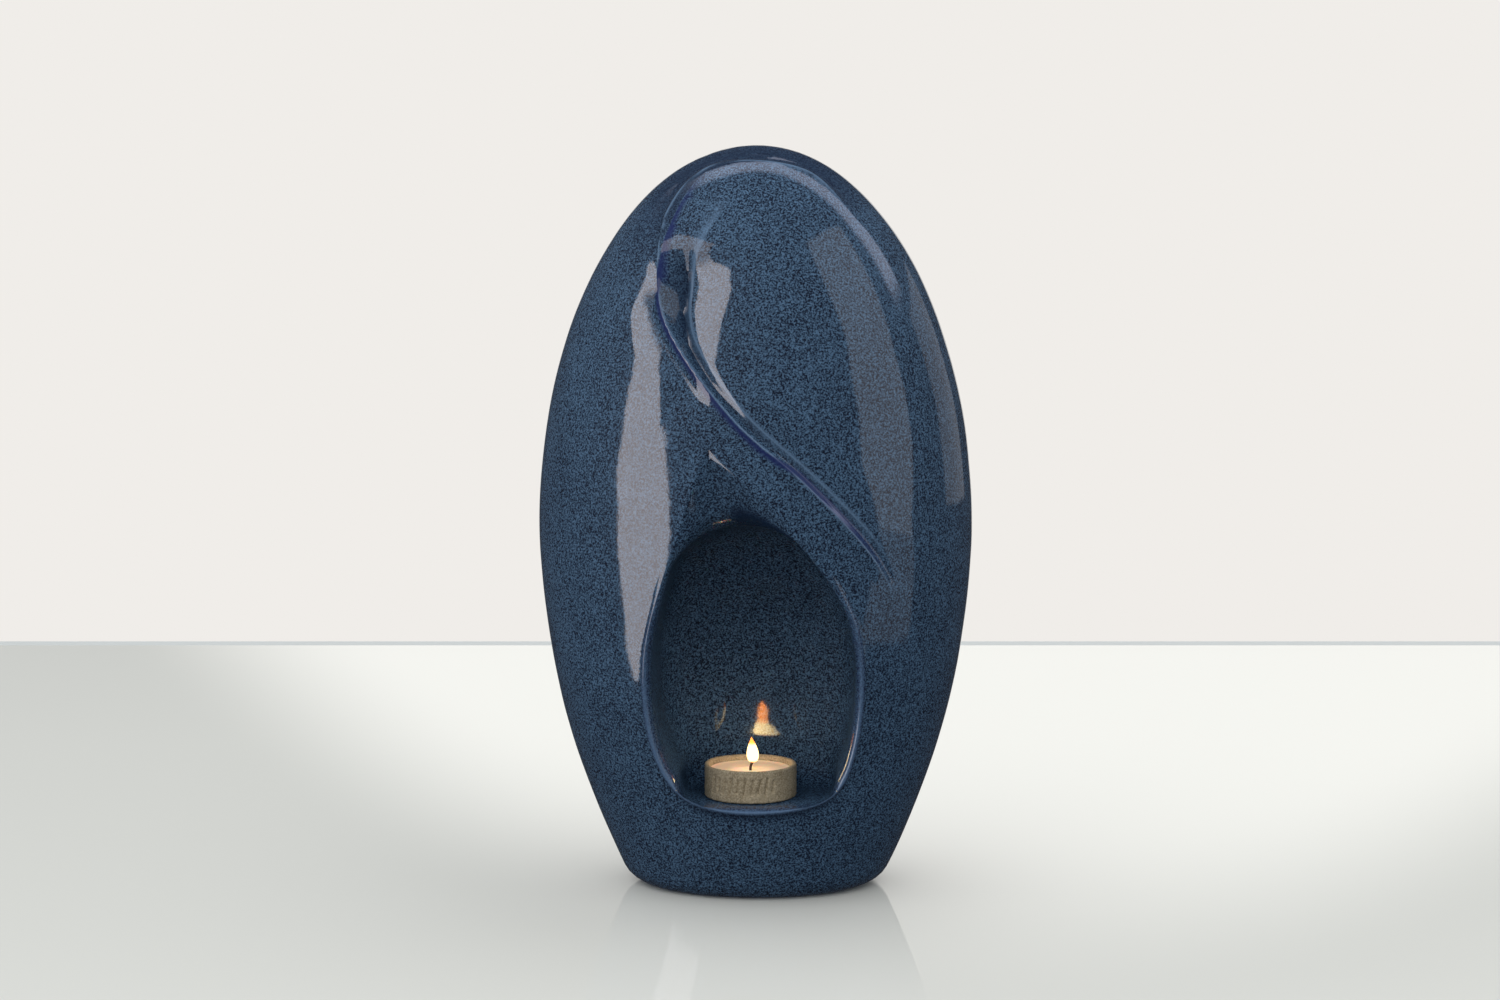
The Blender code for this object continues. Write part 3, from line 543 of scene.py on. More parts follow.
def mouth_of(lip):
    """The mouth's edge in x and z between each place of the lip and the niche's middle.

    Also how far the funnel reaches there.
    """
    middle = from_shares(NICHE_MIDDLE)
    away = lip - middle
    reach = np.linalg.norm(away, axis=1)
    away /= reach[:, None]
    arch = from_shares(ARCH_MIDDLE)
    near, far = np.zeros(len(lip)), reach.copy()
    for _ in range(30):
        half = (near + far) / 2
        off = middle + away * half[:, None] - arch
        side = np.where(off[:, 0] < 0, ARCH_LEFT, ARCH_RIGHT) * HALF_WIDTH
        above = (off[:, 0] / side) ** 2 + (off[:, 1] / (ARCH_RISE * HEIGHT)) ** 2 > 1
        is_out = above & (off[:, 1] > 0)
        far = np.where(is_out, half, far)
        near = np.where(is_out, near, half)
    inner = np.minimum(near, reach - LIP_HALF_WIDTH)
    mouth = middle + away * inner[:, None]
    floor = floor_height()
    up = mouth[:, 1] - floor
    mouth[:, 1] = floor + np.clip(up, 0, None) * blend(up, FLOOR_EDGE, FLOOR_FILLET)
    return mouth, np.clip(reach - inner - LIP_HALF_WIDTH, 0, None)


def niche_corners(lip):
    """For each place of the lip: the mouth's edge, the back's corner and middle, the funnel's share."""
    floor = floor_height()
    middle = from_shares(NICHE_MIDDLE)
    mouth, funnel = mouth_of(lip)
    soft = np.sin(np.pi / 2 * np.clip(funnel / FUNNEL_REACH, 0, 1))
    up = mouth[:, 1] - floor
    narrower = 0.045 * blend(up, 0, 0.020) + 0.10 * soft
    corner = middle + (mouth - middle) * (1 - narrower)[:, None]
    corner[:, 1] = floor + (corner[:, 1] - floor) * blend(up, 0, FLOOR_FILLET)
    edge = front_of_egg(mouth[:, 0], mouth[:, 1])
    edge[:, 1] += 0.6 * LIP_HALF_WIDTH * (1 - soft) + FUNNEL_DEPTH * soft
    back = np.column_stack([corner[:, 0], back_wall(corner[:, 0], corner[:, 1], floor), corner[:, 1]])
    centre = np.array([middle[0], back_wall(middle[0], middle[1], floor), middle[1]])
    return edge, back, np.tile(centre, (len(lip), 1)), soft


def leg(start, end, steps):
    """Rings from start to end, without the end itself."""
    return [start + (end - start) * t for t in np.linspace(0, 1, steps, endpoint=False)]


def bend(before, here, after, radius, steps):
    """A smooth turn of that radius round a corner, for each place of the ring."""
    back, ahead = before - here, after - here
    short = np.minimum(np.linalg.norm(back, axis=1), np.linalg.norm(ahead, axis=1))
    cut = np.minimum(radius, 0.48 * short)
    start = here + back * (cut / np.linalg.norm(back, axis=1))[:, None]
    end = here + ahead * (cut / np.linalg.norm(ahead, axis=1))[:, None]
    return [(1 - t) ** 2 * start + 2 * t * (1 - t) * here + t * t * end for t in np.linspace(0, 1, steps)]


def niche_rings(lip_xz, lip_points):
    """Rings of the niche's recess from the lip's crest to near the middle of its back."""
    edge, back, centre, soft = niche_corners(lip_xz)
    edge[:, 1] += LIP_INNER_DEPTH * (1 - soft)
    gentle = bend(lip_points, edge, back, FUNNEL_BEND, 8)
    gentle = leg(lip_points, gentle[0], 4) + gentle
    rings = []
    for k, ring in enumerate(gentle):
        turn = np.pi / 2 * k / (len(gentle) - 1)
        share = np.array([np.sin(turn), 1 - np.cos(turn), np.sin(turn)])
        rolled = lip_points + (edge - lip_points) * share
        rings.append(rolled + (ring - rolled) * soft[:, None])
    back_turn = bend(edge, back, centre, BACK_ROUNDING + (FUNNEL_BACK_ROUNDING - BACK_ROUNDING) * soft, 12)
    rings += leg(rings[-1], back_turn[0], 16)[1:] + back_turn
    matt = len(rings)
    for t in np.linspace(0, 1, 16, endpoint=False)[1:]:
        ring = back_turn[-1] + (centre - back_turn[-1]) * t
        wall = back_wall(ring[:, 0], ring[:, 2], floor_height())
        ring[:, 1] += (wall - ring[:, 1]) * blend(t, 0, 0.4)
        rings.append(ring)
    return rings, centre[0], matt


def shaded_rough_streak(count):
    """1 on the places of the lip where the funnel's right side carries a dark rough streak: partly mottled
    glaze, partly painted shade under the crease.
    """
    at = np.arange(count) / count
    return blend(at, 0.01, 0.04) * blend(at, 0.27, 0.15)


def underside():
    """Rings from the foot ring's inner edge over the recessed underside and up the filling hole."""
    inner = float(half_width(0)) - FOOT_RING_WIDTH
    hole = HOLE_DIAMETER / 2
    turn = np.arange(FOOT_STEPS) / FOOT_STEPS * 2 * np.pi
    across, along = np.cos(turn), np.sin(turn)
    rings = []
    for half, depth_share, z in (
        (inner + 0.0006, DEPTH_SHARE, 0.0),
        (inner + 0.0001, DEPTH_SHARE, 0.0004),
        (inner, DEPTH_SHARE, FOOT_RECESS - 0.0006),
        (inner - 0.0008, DEPTH_SHARE, FOOT_RECESS),
        (hole, 1, FOOT_RECESS),
        (hole, 1, BASE_THICKNESS),
    ):
        rings.append(np.column_stack([half * across, depth_share * half * along, np.full(FOOT_STEPS, z)]))
    return rings


def build_body():
    """The body as one mesh: carved skin, niche, foot ring, recessed underside and the bore above it."""
    skin, faces, masks, lip_numbers, foot_numbers = build_skin()
    points = list(skin)
    rings, pole, matt_rings = niche_rings(teardrop(NICHE_STEPS), skin[lip_numbers])
    cobalt, thin_glaze_and_highlight, pool_and_shade, matt = (list(painted) for painted in masks)
    streak = shaded_rough_streak(NICHE_STEPS)
    before = lip_numbers
    for k, ring in enumerate(rings[1:]):
        now = list(range(len(points), len(points) + len(ring)))
        points.extend(ring)
        cobalt.extend(masks[0][lip_numbers] * float(blend(k, 12, 8)))
        # The lip's painted highlight runs a little way into the niche
        thin_glaze_and_highlight.extend(masks[1][lip_numbers] * float(blend(k, 4, 0)))
        # The dark streak on the funnel's right side, partly painted shade under the crease
        pool_and_shade.extend(streak * float(blend(k, 2, 5) * blend(k, 15, 8)))
        clear = np.exp(-(((ring[:, 0] - CUP_MIDDLE.x) / 0.009) ** 2)) * blend(ring[:, 2], 0.052, 0.056)
        clear *= blend(ring[:, 2], 0.086, 0.076) * float(k >= matt_rings)
        matt.extend(float(blend(k, 8, 14)) * (1 - clear))
        faces += ring_faces(before, now)
        before = now
    points.append(pole)
    matt.append(1.0)
    faces += [(before[k], before[(k + 1) % len(before)], len(points) - 1) for k in range(len(before))]
    before = foot_numbers
    for ring in underside():
        now = list(range(len(points), len(points) + len(ring)))
        points.extend(ring)
        faces += ring_faces(now, before)
        before = now
    faces.append(tuple(before))
    used = sorted({k for face in faces for k in face})
    place = {old: new for new, old in enumerate(used)}
    faces = [tuple(place[k] for k in face) for face in faces]
    body = mesh_piece("glazed_body", [points[k] for k in used], faces)
    for name, values in zip(("cobalt", "thin_glaze_and_highlight", "pool_and_shade", "matt"), (cobalt, thin_glaze_and_highlight, pool_and_shade, matt)):
        values = list(values) + [0.0] * (len(points) - len(values))
        paint(body, name, [values[k] for k in used])
    return body


def ring_faces(first, second):
    """Faces between two closed rings of point numbers."""
    count = len(first)
    return [(first[k], first[(k + 1) % count], second[(k + 1) % count], second[k]) for k in range(count)]


def tube_faces(rings, sides):
    """Faces of a closed tube of rings, with its first and last end points after them."""
    faces = []
    for k in range(rings - 1):
        faces += ring_faces(range(k * sides, (k + 1) * sides), range((k + 1) * sides, (k + 2) * sides))
    first, last = rings * sides, (rings - 1) * sides
    faces += [(first, (j + 1) % sides, j) for j in range(sides)]
    faces += [(first + 1, last + j, last + (j + 1) % sides) for j in range(sides)]
    return faces


def mesh_piece(name, points, faces, angle=50):
    mesh = bpy.data.meshes.new(name)
    mesh.from_pydata([tuple(map(float, p)) for p in points], [], faces)
    made = bpy.data.objects.new(name, mesh)
    PIECES.objects.link(made)
    tidy_normals(mesh)
    mesh.shade_smooth()
    mesh.set_sharp_from_angle(angle=math.radians(angle))
    return made


def tidy_normals(mesh):
    shape = bmesh.new()
    shape.from_mesh(mesh)
    bmesh.ops.recalc_face_normals(shape, faces=shape.faces)
    shape.to_mesh(mesh)
    shape.free()


def paint(piece, name, values):
    """A value per point that the materials read."""
    layer = piece.data.attributes.new(name, "FLOAT", "POINT")
    layer.data.foreach_set("value", np.asarray(values, np.float32))


# Materials

def new_material(name):
    made = bpy.data.materials.new(name)
    made.use_nodes = True
    tree = made.node_tree
    return made, tree, tree.nodes["Principled BSDF"]


def add(tree, kind, **settings):
    node = tree.nodes.new(kind)
    for key, value in settings.items():
        setattr(node, key, value)
    return node


def link(tree, source, target):
    tree.links.new(source, target)


def maths(tree, operation, first, second=None, third=None, clamp=False):
    node = add(tree, "ShaderNodeMath", operation=operation, use_clamp=clamp)
    for socket, value in zip(node.inputs, (first, second, third)):
        if value is None:
            continue
        if isinstance(value, (int, float)):
            socket.default_value = value
        else:
            link(tree, value, socket)
    return node.outputs[0]


def mix_colours(tree, amount, first, second):
    node = add(tree, "ShaderNodeMix", data_type="RGBA", blend_type="MIX")
    for socket, value in ((node.inputs[0], amount), (node.inputs[6], first), (node.inputs[7], second)):
        if isinstance(value, (int, float)):
            socket.default_value = value
        elif isinstance(value, tuple):
            socket.default_value = (*value, 1.0)
        else:
            link(tree, value, socket)
    return node.outputs[2]


def noise_at(tree, place, scale, detail=2.0, roughness=0.5):
    node = add(tree, "ShaderNodeTexNoise")
    node.inputs["Scale"].default_value = scale
    node.inputs["Detail"].default_value = detail
    node.inputs["Roughness"].default_value = roughness
    link(tree, place, node.inputs["Vector"])
    return node.outputs["Fac"]


def ramp(tree, value, low, high):
    """0 below low, 1 above high, smooth between them."""
    node = add(tree, "ShaderNodeMapRange", interpolation_type="SMOOTHSTEP")
    node.inputs["From Min"].default_value = low
    node.inputs["From Max"].default_value = high
    link(tree, value, node.inputs["Value"])
    return node.outputs["Result"]


def object_place(tree):
    return add(tree, "ShaderNodeTexCoord").outputs["Object"]


def mask(tree, name):
    """A value that was painted on the points of the piece."""
    return add(tree, "ShaderNodeAttribute", attribute_name=name).outputs["Fac"]


def bump(tree, height, strength, distance):
    node = add(tree, "ShaderNodeBump")
    node.inputs["Strength"].default_value = strength
    node.inputs["Distance"].default_value = distance
    link(tree, height, node.inputs["Height"])
    return node.outputs["Normal"]


def make_grain_group():
    """The grain that glaze, clay, wax, wick and rubber share: noise, and a colour that follows it."""
    group = bpy.data.node_groups.new("grain", "ShaderNodeTree")
    for name, kind in (
        ("Place", "NodeSocketVector"),
        ("Scale", "NodeSocketFloat"),
        ("Detail", "NodeSocketFloat"),
        ("Roughness", "NodeSocketFloat"),
        ("Dark Colour", "NodeSocketColor"),
        ("Light Colour", "NodeSocketColor"),
    ):
        group.interface.new_socket(name, in_out="INPUT", socket_type=kind)
    group.interface.new_socket("Height", in_out="OUTPUT", socket_type="NodeSocketFloat")
    group.interface.new_socket("Colour", in_out="OUTPUT", socket_type="NodeSocketColor")
    given = add(group, "NodeGroupInput").outputs
    out = add(group, "NodeGroupOutput").inputs
    texture = add(group, "ShaderNodeTexNoise")
    link(group, given["Place"], texture.inputs["Vector"])
    for name in ("Scale", "Detail", "Roughness"):
        link(group, given[name], texture.inputs[name])
    height = texture.outputs["Fac"]
    link(group, height, out["Height"])
    link(group, mix_colours(group, height, given["Dark Colour"], given["Light Colour"]), out["Colour"])
    return group


GRAIN = make_grain_group()


def grain(tree, place, scale, detail, roughness=0.5, dark=(0, 0, 0), light=(1, 1, 1)):
    """The grain group in a material, with its own values: height and colour."""
    node = add(tree, "ShaderNodeGroup", node_tree=GRAIN)
    for name, value in (("Scale", scale), ("Detail", detail), ("Roughness", roughness)):
        node.inputs[name].default_value = value
    node.inputs["Dark Colour"].default_value = (*dark, 1)
    node.inputs["Light Colour"].default_value = (*light, 1)
    link(tree, place, node.inputs["Place"])
    return node.outputs["Height"], node.outputs["Colour"]


GLAZE_LIGHT = (0.094, 0.186, 0.315)
GLAZE_DARK = (0.001, 0.006, 0.024)
GLAZE_POOLED_AND_SHADE = (0.003, 0.016, 0.050)
COBALT = (0.010, 0.022, 0.120)
THIN_GLAZE_AND_HIGHLIGHT_BLUE = (0.150, 0.260, 0.420)
SPECKS_FROM = 0.39
SPECKS_TO = 0.66
FLAME_ORANGE = (1.0, 0.28, 0.04)
FLAME_YELLOW = (1.0, 0.72, 0.32)
FLAME_STRENGTH = 3.0
FLAME_MIRRORED = 20.0


def glaze_material():
    """Blue glaze with fine black mottling and cobalt lines, paler and clear of specks where it breaks over
    an edge and as painted highlight, darker where it pools and as painted shade.
    """
    made, tree, shader = new_material("speckled_blue_glaze")
    place = object_place(tree)
    fine = noise_at(tree, place, 1400, 1.5, 0.6)
    cloud = noise_at(tree, place, 55, 3.0, 0.6)
    level = maths(tree, "ADD", fine, maths(tree, "MULTIPLY", maths(tree, "SUBTRACT", cloud, 0.5), 0.10))
    specks = add(tree, "ShaderNodeMapRange")
    specks.inputs["From Min"].default_value = SPECKS_FROM
    specks.inputs["From Max"].default_value = SPECKS_TO
    link(tree, level, specks.inputs["Value"])
    speckled = mix_colours(tree, specks.outputs["Result"], GLAZE_DARK, GLAZE_LIGHT)
    # Pooled glaze and painted shade: darker in the trough, and painted shade outside the top loop, under
    # the lip and along the funnel's streak
    pooled_and_shaded = mix_colours(tree, maths(tree, "MULTIPLY", mask(tree, "pool_and_shade"), 0.9), speckled, GLAZE_POOLED_AND_SHADE)
    # Paler blue where the glaze runs thin over the lobe's crest, and painted highlight on the trough's
    # flank, the ridge's edge and the lower lip
    streak = mix_colours(tree, maths(tree, "MULTIPLY", mask(tree, "thin_glaze_and_highlight"), 0.8), pooled_and_shaded, THIN_GLAZE_AND_HIGHLIGHT_BLUE)
    line = mix_colours(tree, maths(tree, "MULTIPLY", mask(tree, "cobalt"), 0.9), streak, COBALT)
    link(tree, line, shader.inputs["Base Color"])
    clear = maths(tree, "MULTIPLY_ADD", mask(tree, "matt"), -1.0, 1.0)
    link(tree, clear, shader.inputs["Coat Weight"])
    shader.inputs["Coat Roughness"].default_value = 0.07
    shader.inputs["Coat IOR"].default_value = 1.52
    shader.inputs["Roughness"].default_value = 0.6
    shader.inputs["Specular IOR Level"].default_value = 0.1
    height, _ = grain(tree, place, 420, 2.0)
    normal = bump(tree, height, 0.10, 0.0002)
    link(tree, normal, shader.inputs["Normal"])
    link(tree, normal, shader.inputs["Coat Normal"])
    return made


def stoneware_material():
    """Sand-coloured stoneware with a fine pitted grain."""
    made, tree, shader = new_material("sandy_stoneware")
    place = object_place(tree)
    height, _ = grain(tree, place, 1500, 3.0, 0.65)
    patches = noise_at(tree, place, 160, 3.0, 0.6)
    base = mix_colours(tree, ramp(tree, patches, 0.3, 0.7), (0.22, 0.175, 0.10), (0.36, 0.30, 0.195))
    colour = mix_colours(tree, ramp(tree, height, 0.35, 0.7), base, (0.52, 0.44, 0.31))
    link(tree, colour, shader.inputs["Base Color"])
    shader.inputs["Roughness"].default_value = 0.85
    link(tree, bump(tree, height, 0.8, 0.0006), shader.inputs["Normal"])
    return made


def grained_material(name, scale, dark, light, roughness):
    """A material whose colour follows the shared grain."""
    made, tree, shader = new_material(name)
    _, colour = grain(tree, object_place(tree), scale, 2.0, 0.5, dark, light)
    link(tree, colour, shader.inputs["Base Color"])
    shader.inputs["Roughness"].default_value = roughness
    return made, shader


def wax_material():
    made, shader = grained_material("candle_wax", 300, (0.88, 0.70, 0.52), (0.95, 0.80, 0.64), 0.3)
    shader.inputs["Subsurface Weight"].default_value = 0.6
    shader.inputs["Subsurface Radius"].default_value = (0.004, 0.002, 0.001)
    return made


def wick_material():
    return grained_material("charred_wick", 2500, (0.01, 0.008, 0.006), (0.06, 0.045, 0.035), 0.9)[0]


def rubber_material():
    return grained_material("black_rubber", 900, (0.014, 0.014, 0.015), (0.03, 0.03, 0.032), 0.6)[0]


def flame_material():
    """Glowing gas, white-yellow in the middle, orange at the foot and tip, brighter in the glaze."""
    made, tree, shader = new_material("candle_flame")
    glow = ramp(tree, mask(tree, "glow"), 0.0, 0.5)
    colour = mix_colours(tree, glow, FLAME_ORANGE, FLAME_YELLOW)
    link(tree, colour, shader.inputs["Emission Color"])
    shader.inputs["Base Color"].default_value = (0.0, 0.0, 0.0, 1)
    mirrored = add(tree, "ShaderNodeLightPath").outputs["Is Glossy Ray"]
    strength = maths(tree, "MULTIPLY_ADD", mirrored, FLAME_MIRRORED, FLAME_STRENGTH)
    link(tree, strength, shader.inputs["Emission Strength"])
    shader.inputs["Roughness"].default_value = 1.0
    shader.inputs["Specular IOR Level"].default_value = 0.0
    return made


# The tealight's flame

FLAME_HEIGHT = 0.0108
FLAME_HALF_WIDTH = 0.0032
FLAME_LEAN = -0.0006
FLAME_ASIDE = 0.0004
FLAME_BELOW_WICK_TOP = 0.0012
GLOW_POWER = 0.0065
GLOW_COLOUR = (1.0, 0.70, 0.48)
GLOW_RADIUS = 0.002
GLOW_ABOVE_WICK = 0.006
FLAME_RINGS = 22
FLAME_SIDES = 24


def build_flame():
    """A teardrop of light round the top of the wick, leaning a little to the left at its tip."""
    wick_low, wick_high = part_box("tealight_wick")
    middle = (wick_low[0] + wick_high[0]) / 2
    foot = Vector((middle + FLAME_ASIDE, CUP_MIDDLE.y, wick_high[2] - FLAME_BELOW_WICK_TOP))
    points, faces, glow = [], [], []
    for k in range(1, FLAME_RINGS):
        t = k / FLAME_RINGS
        half = FLAME_HALF_WIDTH * 2.1 * math.sqrt(t) * (1 - t) ** 1.1
        x, z = foot.x + FLAME_LEAN * t ** 2, foot.z + FLAME_HEIGHT * t
        for j in range(FLAME_SIDES):
            a = 2 * math.pi * j / FLAME_SIDES
            points.append((x + half * math.cos(a), foot.y + half * math.sin(a), z))
            glow.append(math.sin(math.pi * min(1, t * 1.25)))
    points += [tuple(foot), (foot.x + FLAME_LEAN, foot.y, foot.z + FLAME_HEIGHT)]
    glow += [0.0, 0.2]
    faces = tube_faces(FLAME_RINGS - 1, FLAME_SIDES)
    flame = mesh_piece("flame", points, faces)
    flame.data.materials.append(flame_material())
    flame.visible_shadow = False
    paint(flame, "glow", glow)
    return flame


def light_flame():
    """The flame's own light on the wax, the cup and the niche."""
    _, wick_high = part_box("tealight_wick")
    glow = bpy.data.lights.new("flame_glow", "POINT")
    glow.energy = GLOW_POWER
    glow.color = GLOW_COLOUR
    glow.shadow_soft_size = GLOW_RADIUS
    lamp = bpy.data.objects.new("flame_glow", glow)
    lamp.visible_glossy = False
    bpy.context.scene.collection.objects.link(lamp)
    lamp.location = (CUP_MIDDLE.x, CUP_MIDDLE.y, wick_high[2] + GLOW_ABOVE_WICK)


# The tealight's cup and wax

CUP_WALL = 0.0021
CUP_FLOOR = 0.0018
CUP_EDGE = 0.0006
STROKES = 10
STROKE_SPACING = 0.0031
STROKE_HEIGHT = 0.0068
STROKE_DEPTH = 0.00085
STROKE_HALF_WIDTH = 0.00050
STROKES_ASIDE = -0.0030
STROKE_SLANT = 0.16
WICK_BORE = 0.00085
WICK_BORE_DEPTH = 0.0050


def lathe(name, profile, sides, shape=None):
    """A turned piece from a profile of (radius, height) from axis to axis. shape moves its points."""
    turn = np.arange(sides) / sides * 2 * np.pi
    points = []
    for radius, z in profile[1:-1]:
        points.append(np.column_stack([radius * np.cos(turn), radius * np.sin(turn), np.full(sides, z)]))
    points = np.vstack(points)
    if shape:
        points = shape(points)
    ends = [(0, 0, profile[0][1]), (0, 0, profile[-1][1])]
    points = np.vstack([points, ends]) + np.array(CUP_MIDDLE)
    return mesh_piece(name, points, tube_faces(len(profile) - 2, sides), 40)


def strokes_at(turn, z):
    """How deep the pressed strokes go at a turn from the cup's front and a height."""
    depth = np.zeros(len(turn))
    across = turn * CUP_RADIUS
    for k in range(STROKES):
        middle = (k - (STROKES - 1) / 2) * STROKE_SPACING
        tall = STROKE_HEIGHT * (0.84 + 0.16 * math.cos(2.4 * k))
        off = across - STROKES_ASIDE - middle - STROKE_SLANT * (z - CUP_HEIGHT / 2)
        ends = np.clip(np.abs(z - CUP_HEIGHT / 2) - tall / 2, 0, None)
        depth = np.maximum(depth, np.exp(-(np.hypot(off, ends) / STROKE_HALF_WIDTH) ** 2))
    return STROKE_DEPTH * depth


def worn_cup(points):
    """The cup's clay, a little out of round and rough, with the strokes pressed in."""
    radius = np.hypot(points[:, 0], points[:, 1])
    turn = np.arctan2(points[:, 0], -points[:, 1])
    out = points[:, :2] / radius[:, None]
    rough = np.array([noise.noise(p) + 0.5 * noise.noise(2.1 * p) for p in points / 0.0011])
    slow = np.array([noise.noise(p) for p in points / 0.016])
    outer = blend(radius, CUP_RADIUS - 0.0012, CUP_RADIUS - 0.0004)
    inward = outer * (0.00022 * (1 + slow) + 0.00016 * (1 + rough) + strokes_at(turn, points[:, 2]))
    points = points.copy()
    points[:, :2] -= out * inward[:, None]
    top = blend(points[:, 2], CUP_HEIGHT - 0.0012, CUP_HEIGHT)
    points[:, 2] -= top * (0.00022 * (1 + slow) + 0.00008 * (1 + rough))
    return points


def build_cup():
    inner = CUP_RADIUS - CUP_WALL
    profile = [(0, CUP_FLOOR), (0.4 * inner, CUP_FLOOR), (inner - CUP_EDGE, CUP_FLOOR)]
    profile += [(inner, CUP_FLOOR + CUP_EDGE)]
    profile += [(inner, z) for z in np.linspace(0.004, CUP_HEIGHT - CUP_EDGE, 8)]
    profile += [(inner + 0.0002, CUP_HEIGHT - 0.0002), (inner + CUP_EDGE, CUP_HEIGHT)]
    profile += [(CUP_RADIUS - 0.0010, CUP_HEIGHT)]
    profile += [(CUP_RADIUS - CUP_EDGE, CUP_HEIGHT), (CUP_RADIUS - 0.0002, CUP_HEIGHT - 0.0002)]
    profile += [(CUP_RADIUS, z) for z in np.linspace(CUP_HEIGHT - CUP_EDGE, CUP_EDGE, 40)]
    profile += [(CUP_RADIUS - 0.0002, 0.0002), (CUP_RADIUS - CUP_EDGE, 0), (0.5 * inner, 0), (0, 0)]
    return lathe("stoneware_cup", profile, 320, worn_cup)


def build_wax():
    """The poured wax, uneven on top, climbing a little at the cup's wall, with the wick's narrow bore."""
    low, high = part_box("tealight_wax")
    half = (high[0] - low[0]) / 2
    bottom, top = low[2] - CUP_MIDDLE.z, high[2] - CUP_MIDDLE.z
    profile = [(0, top - WICK_BORE_DEPTH), (WICK_BORE, top - WICK_BORE_DEPTH), (WICK_BORE, top - 0.0008)]
    radii = np.linspace(0.0011, half - 0.0012, 16)
    profile += [(r, top - 0.0004 - 0.0003 * math.exp(-r / 0.002)) for r in radii]
    profile += [(half - 0.0006, top - 0.0003), (half - 0.0002, top - 0.0001), (half, top)]
    profile += [(half, bottom + CUP_EDGE), (half - CUP_EDGE, bottom), (0, bottom)]

    def ripple(points):
        points = points.copy()
        slow = np.array([noise.noise(p) for p in points / 0.006])
        radius = np.hypot(points[:, 0], points[:, 1])
        flat = blend(points[:, 2], top - 0.0012, top - 0.0006) * blend(radius, half, half - 0.001)
        points[:, 2] -= 0.00012 * (1 + slow) * flat
        return points

    return lathe("poured_wax", profile, 96, ripple)


# Light, floor and camera

WALL_COLOUR = (0.871, 0.847, 0.815)
WORLD_TOP = 1.25
WORLD_LOW = 0.15
WORLD_TILT = 0.20
DARK_ROOM = (0.60, 0.64, 0.80)
DARK_LEVEL = 0.05
OVERHEAD_LEVEL = 3.0
OVERHEAD_NORTH = (0.06, 0.16, 0.33, 0.37)
OVERHEAD_UP = (0.35, 0.50)
OVERHEAD_EAST = (-0.65, -0.30)

# Light panels: azimuth, elevation, distance, width, height, strength, colour
PANELS = {
    "left_softbox": (-48.5, 11, 1.0, 0.46, 1.5, 4.5, (1.0, 0.93, 0.95)),
    "right_strip": (63, 22, 1.0, 0.54, 1.15, 0.95, (0.92, 0.94, 1.0)),
    "right_strip_foot": (63, -15, 1.0, 0.50, 0.26, 0.40, (0.92, 0.94, 1.0)),
    "rear_right_strip": (122, 8, 1.0, 0.56, 0.50, 0.42, (0.95, 0.95, 1.0)),
}

TABLE_END = 0.544
TABLE_REACH = 3.0
TABLE_TURN = 0.052
# The grey strip beyond the table's far edge is painted shade: its width here, its colour below the table's
FAR_SHADE_WIDTH = 0.012
TABLE_COLOUR = (0.85, 0.865, 0.825)
FAR_SHADE_COLOUR = (0.62, 0.66, 0.66)

CAMERA_PLACE = (0.0912, -1.7977, 0.4285)
CAMERA_AIM = Vector((-0.0514, 0.9878, -0.1472))
CAMERA_LENS = 105.4
CAMERA_SENSOR = 36


def reflector(name, azimuth, elevation, distance, width, height, strength, colour):
    """A soft light panel that faces the urn from that direction. Azimuth 0 is in front, 90 to the right."""
    a, e = math.radians(azimuth), math.radians(elevation)
    out = Vector((math.sin(a) * math.cos(e), -math.cos(a) * math.cos(e), math.sin(e)))
    data = bpy.data.lights.new(name, "AREA")
    data.shape = "RECTANGLE"
    data.size = width
    data.size_y = height
    data.color = colour
    data.energy = strength * math.pi * width * height
    made = bpy.data.objects.new(name, data)
    bpy.context.scene.collection.objects.link(made)
    made.location = Vector((0, 0, 0.16)) + out * distance
    made.rotation_euler = (-out).to_track_quat("-Z", "Y").to_euler()
    made.visible_camera = False
    made.visible_diffuse = False
    return made


def world_glow(tree, colour, strength):
    node = add(tree, "ShaderNodeBackground")
    node.inputs["Color"].default_value = (*colour, 1)
    if isinstance(strength, (int, float)):
        node.inputs["Strength"].default_value = strength
    else:
        link(tree, strength, node.inputs["Strength"])
    return node.outputs[0]


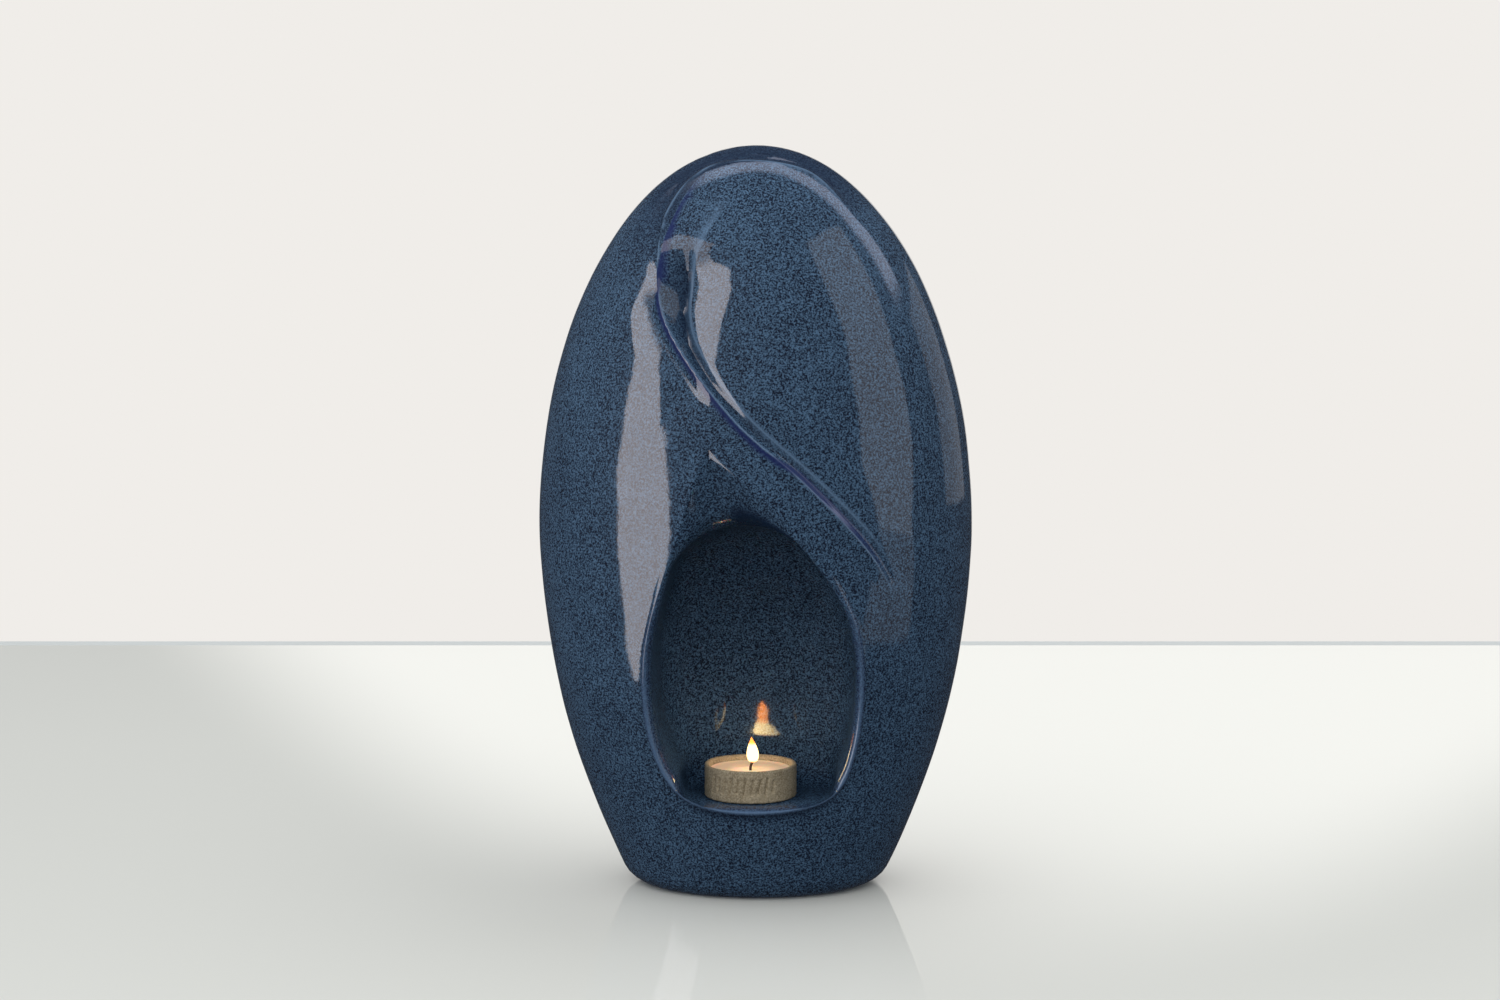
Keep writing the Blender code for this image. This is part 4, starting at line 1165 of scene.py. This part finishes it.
def set_world():
    """A pale wall to the camera, soft light from above for the dull surfaces, and a dark room in the gloss.

    Low and straight behind, the gloss sees the pale wall too, so that the table mirrors it.
    """
    world = bpy.data.worlds.new("studio")
    bpy.context.scene.world = world
    world.use_nodes = True
    tree = world.node_tree
    tree.nodes.clear()
    way = add(tree, "ShaderNodeSeparateXYZ")
    link(tree, add(tree, "ShaderNodeTexCoord").outputs["Generated"], way.inputs[0])
    east, north, up = way.outputs
    high = maths(tree, "MULTIPLY_ADD", ramp(tree, up, -0.6, 0.9), WORLD_TOP - WORLD_LOW, WORLD_LOW)
    level = maths(tree, "MULTIPLY_ADD", east, -WORLD_TILT, high)
    behind = maths(tree, "MULTIPLY", ramp(tree, north, 0.965, 0.975), ramp(tree, up, 0.28, 0.26))
    wall = world_glow(tree, WALL_COLOUR, 1.0)
    soft = world_glow(tree, (1.0, 1.0, 1.0), level)
    start, full, fading, end = OVERHEAD_NORTH
    over = maths(tree, "MULTIPLY", ramp(tree, north, start, full), ramp(tree, north, end, fading))
    beside = maths(tree, "MULTIPLY", ramp(tree, up, *OVERHEAD_UP), ramp(tree, east, *OVERHEAD_EAST))
    over = maths(tree, "MULTIPLY", over, beside)
    dark = world_glow(tree, DARK_ROOM, maths(tree, "MULTIPLY_ADD", over, OVERHEAD_LEVEL, DARK_LEVEL))
    path = add(tree, "ShaderNodeLightPath")
    out = add(tree, "ShaderNodeOutputWorld")
    mirrored = pick_shader(tree, behind, dark, wall)
    unseen = pick_shader(tree, path.outputs["Is Glossy Ray"], soft, mirrored)
    link(tree, pick_shader(tree, path.outputs["Is Camera Ray"], unseen, wall), out.inputs["Surface"])


def pick_shader(tree, amount, first, second):
    node = add(tree, "ShaderNodeMixShader")
    for socket, value in zip(node.inputs, (amount, first, second)):
        link(tree, value, socket)
    return node.outputs[0]


def stage_plane(name, corners, colour, roughness, shine=0.5):
    mesh = bpy.data.meshes.new(name)
    mesh.from_pydata(corners, [], [(0, 1, 2, 3)])
    made = bpy.data.objects.new(name, mesh)
    bpy.context.scene.collection.objects.link(made)
    look, tree, shader = new_material(name + "_paint")
    shader.inputs["Base Color"].default_value = (*colour, 1)
    shader.inputs["Roughness"].default_value = roughness
    shader.inputs["Specular IOR Level"].default_value = shine
    mesh.materials.append(look)
    made.visible_glossy = False
    made.visible_diffuse = False
    return made


def set_camera():
    bpy.context.scene.view_settings.view_transform = "Standard"
    data = bpy.data.cameras.new("photo_view")
    data.lens = CAMERA_LENS
    data.sensor_width = CAMERA_SENSOR
    made = bpy.data.objects.new("photo_view", data)
    bpy.context.scene.collection.objects.link(made)
    made.location = CAMERA_PLACE
    made.rotation_euler = CAMERA_AIM.to_track_quat("-Z", "Y").to_euler()
    bpy.context.scene.camera = made


def set_table():
    """A pale table, turned a little to the camera, with a grey strip beyond its far edge that is painted
    shade.
    """
    across = Vector((math.cos(TABLE_TURN), math.sin(TABLE_TURN), 0))
    ahead = Vector((-math.sin(TABLE_TURN), math.cos(TABLE_TURN), 0))
    side = TABLE_REACH * across
    near, far = -TABLE_REACH * ahead, TABLE_END * ahead
    far_shade = (TABLE_END + FAR_SHADE_WIDTH) * ahead
    stage_plane("table", [near - side, near + side, far + side, far - side], TABLE_COLOUR, 0.04, 0.50)
    # A grey strip of painted shade beyond the table's far edge
    stage_plane("table_far_shade", [far - side, far + side, far_shade + side, far_shade - side], FAR_SHADE_COLOUR, 0.5)


def main():
    body = build_body()
    body.data.materials.append(glaze_material())
    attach(body, "root")
    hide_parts("urn_body")

    for piece, node, slot, look in (
        (build_cup(), "tealight_cup", "stoneware", stoneware_material()),
        (build_wax(), "tealight_wax", "wax", wax_material()),
    ):
        piece.data.materials.append(look)
        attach(piece, "root")
        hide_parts(node)

    for node, look in (("tealight_wick", wick_material()), ("base_bung", rubber_material())):
        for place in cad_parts[node].material_slots:
            place.material = look

    flame = build_flame()
    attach(flame, "root")
    light_flame()
    set_world()
    for name, panel in PANELS.items():
        reflector(name, *panel)
    set_table()
    set_camera()


main()
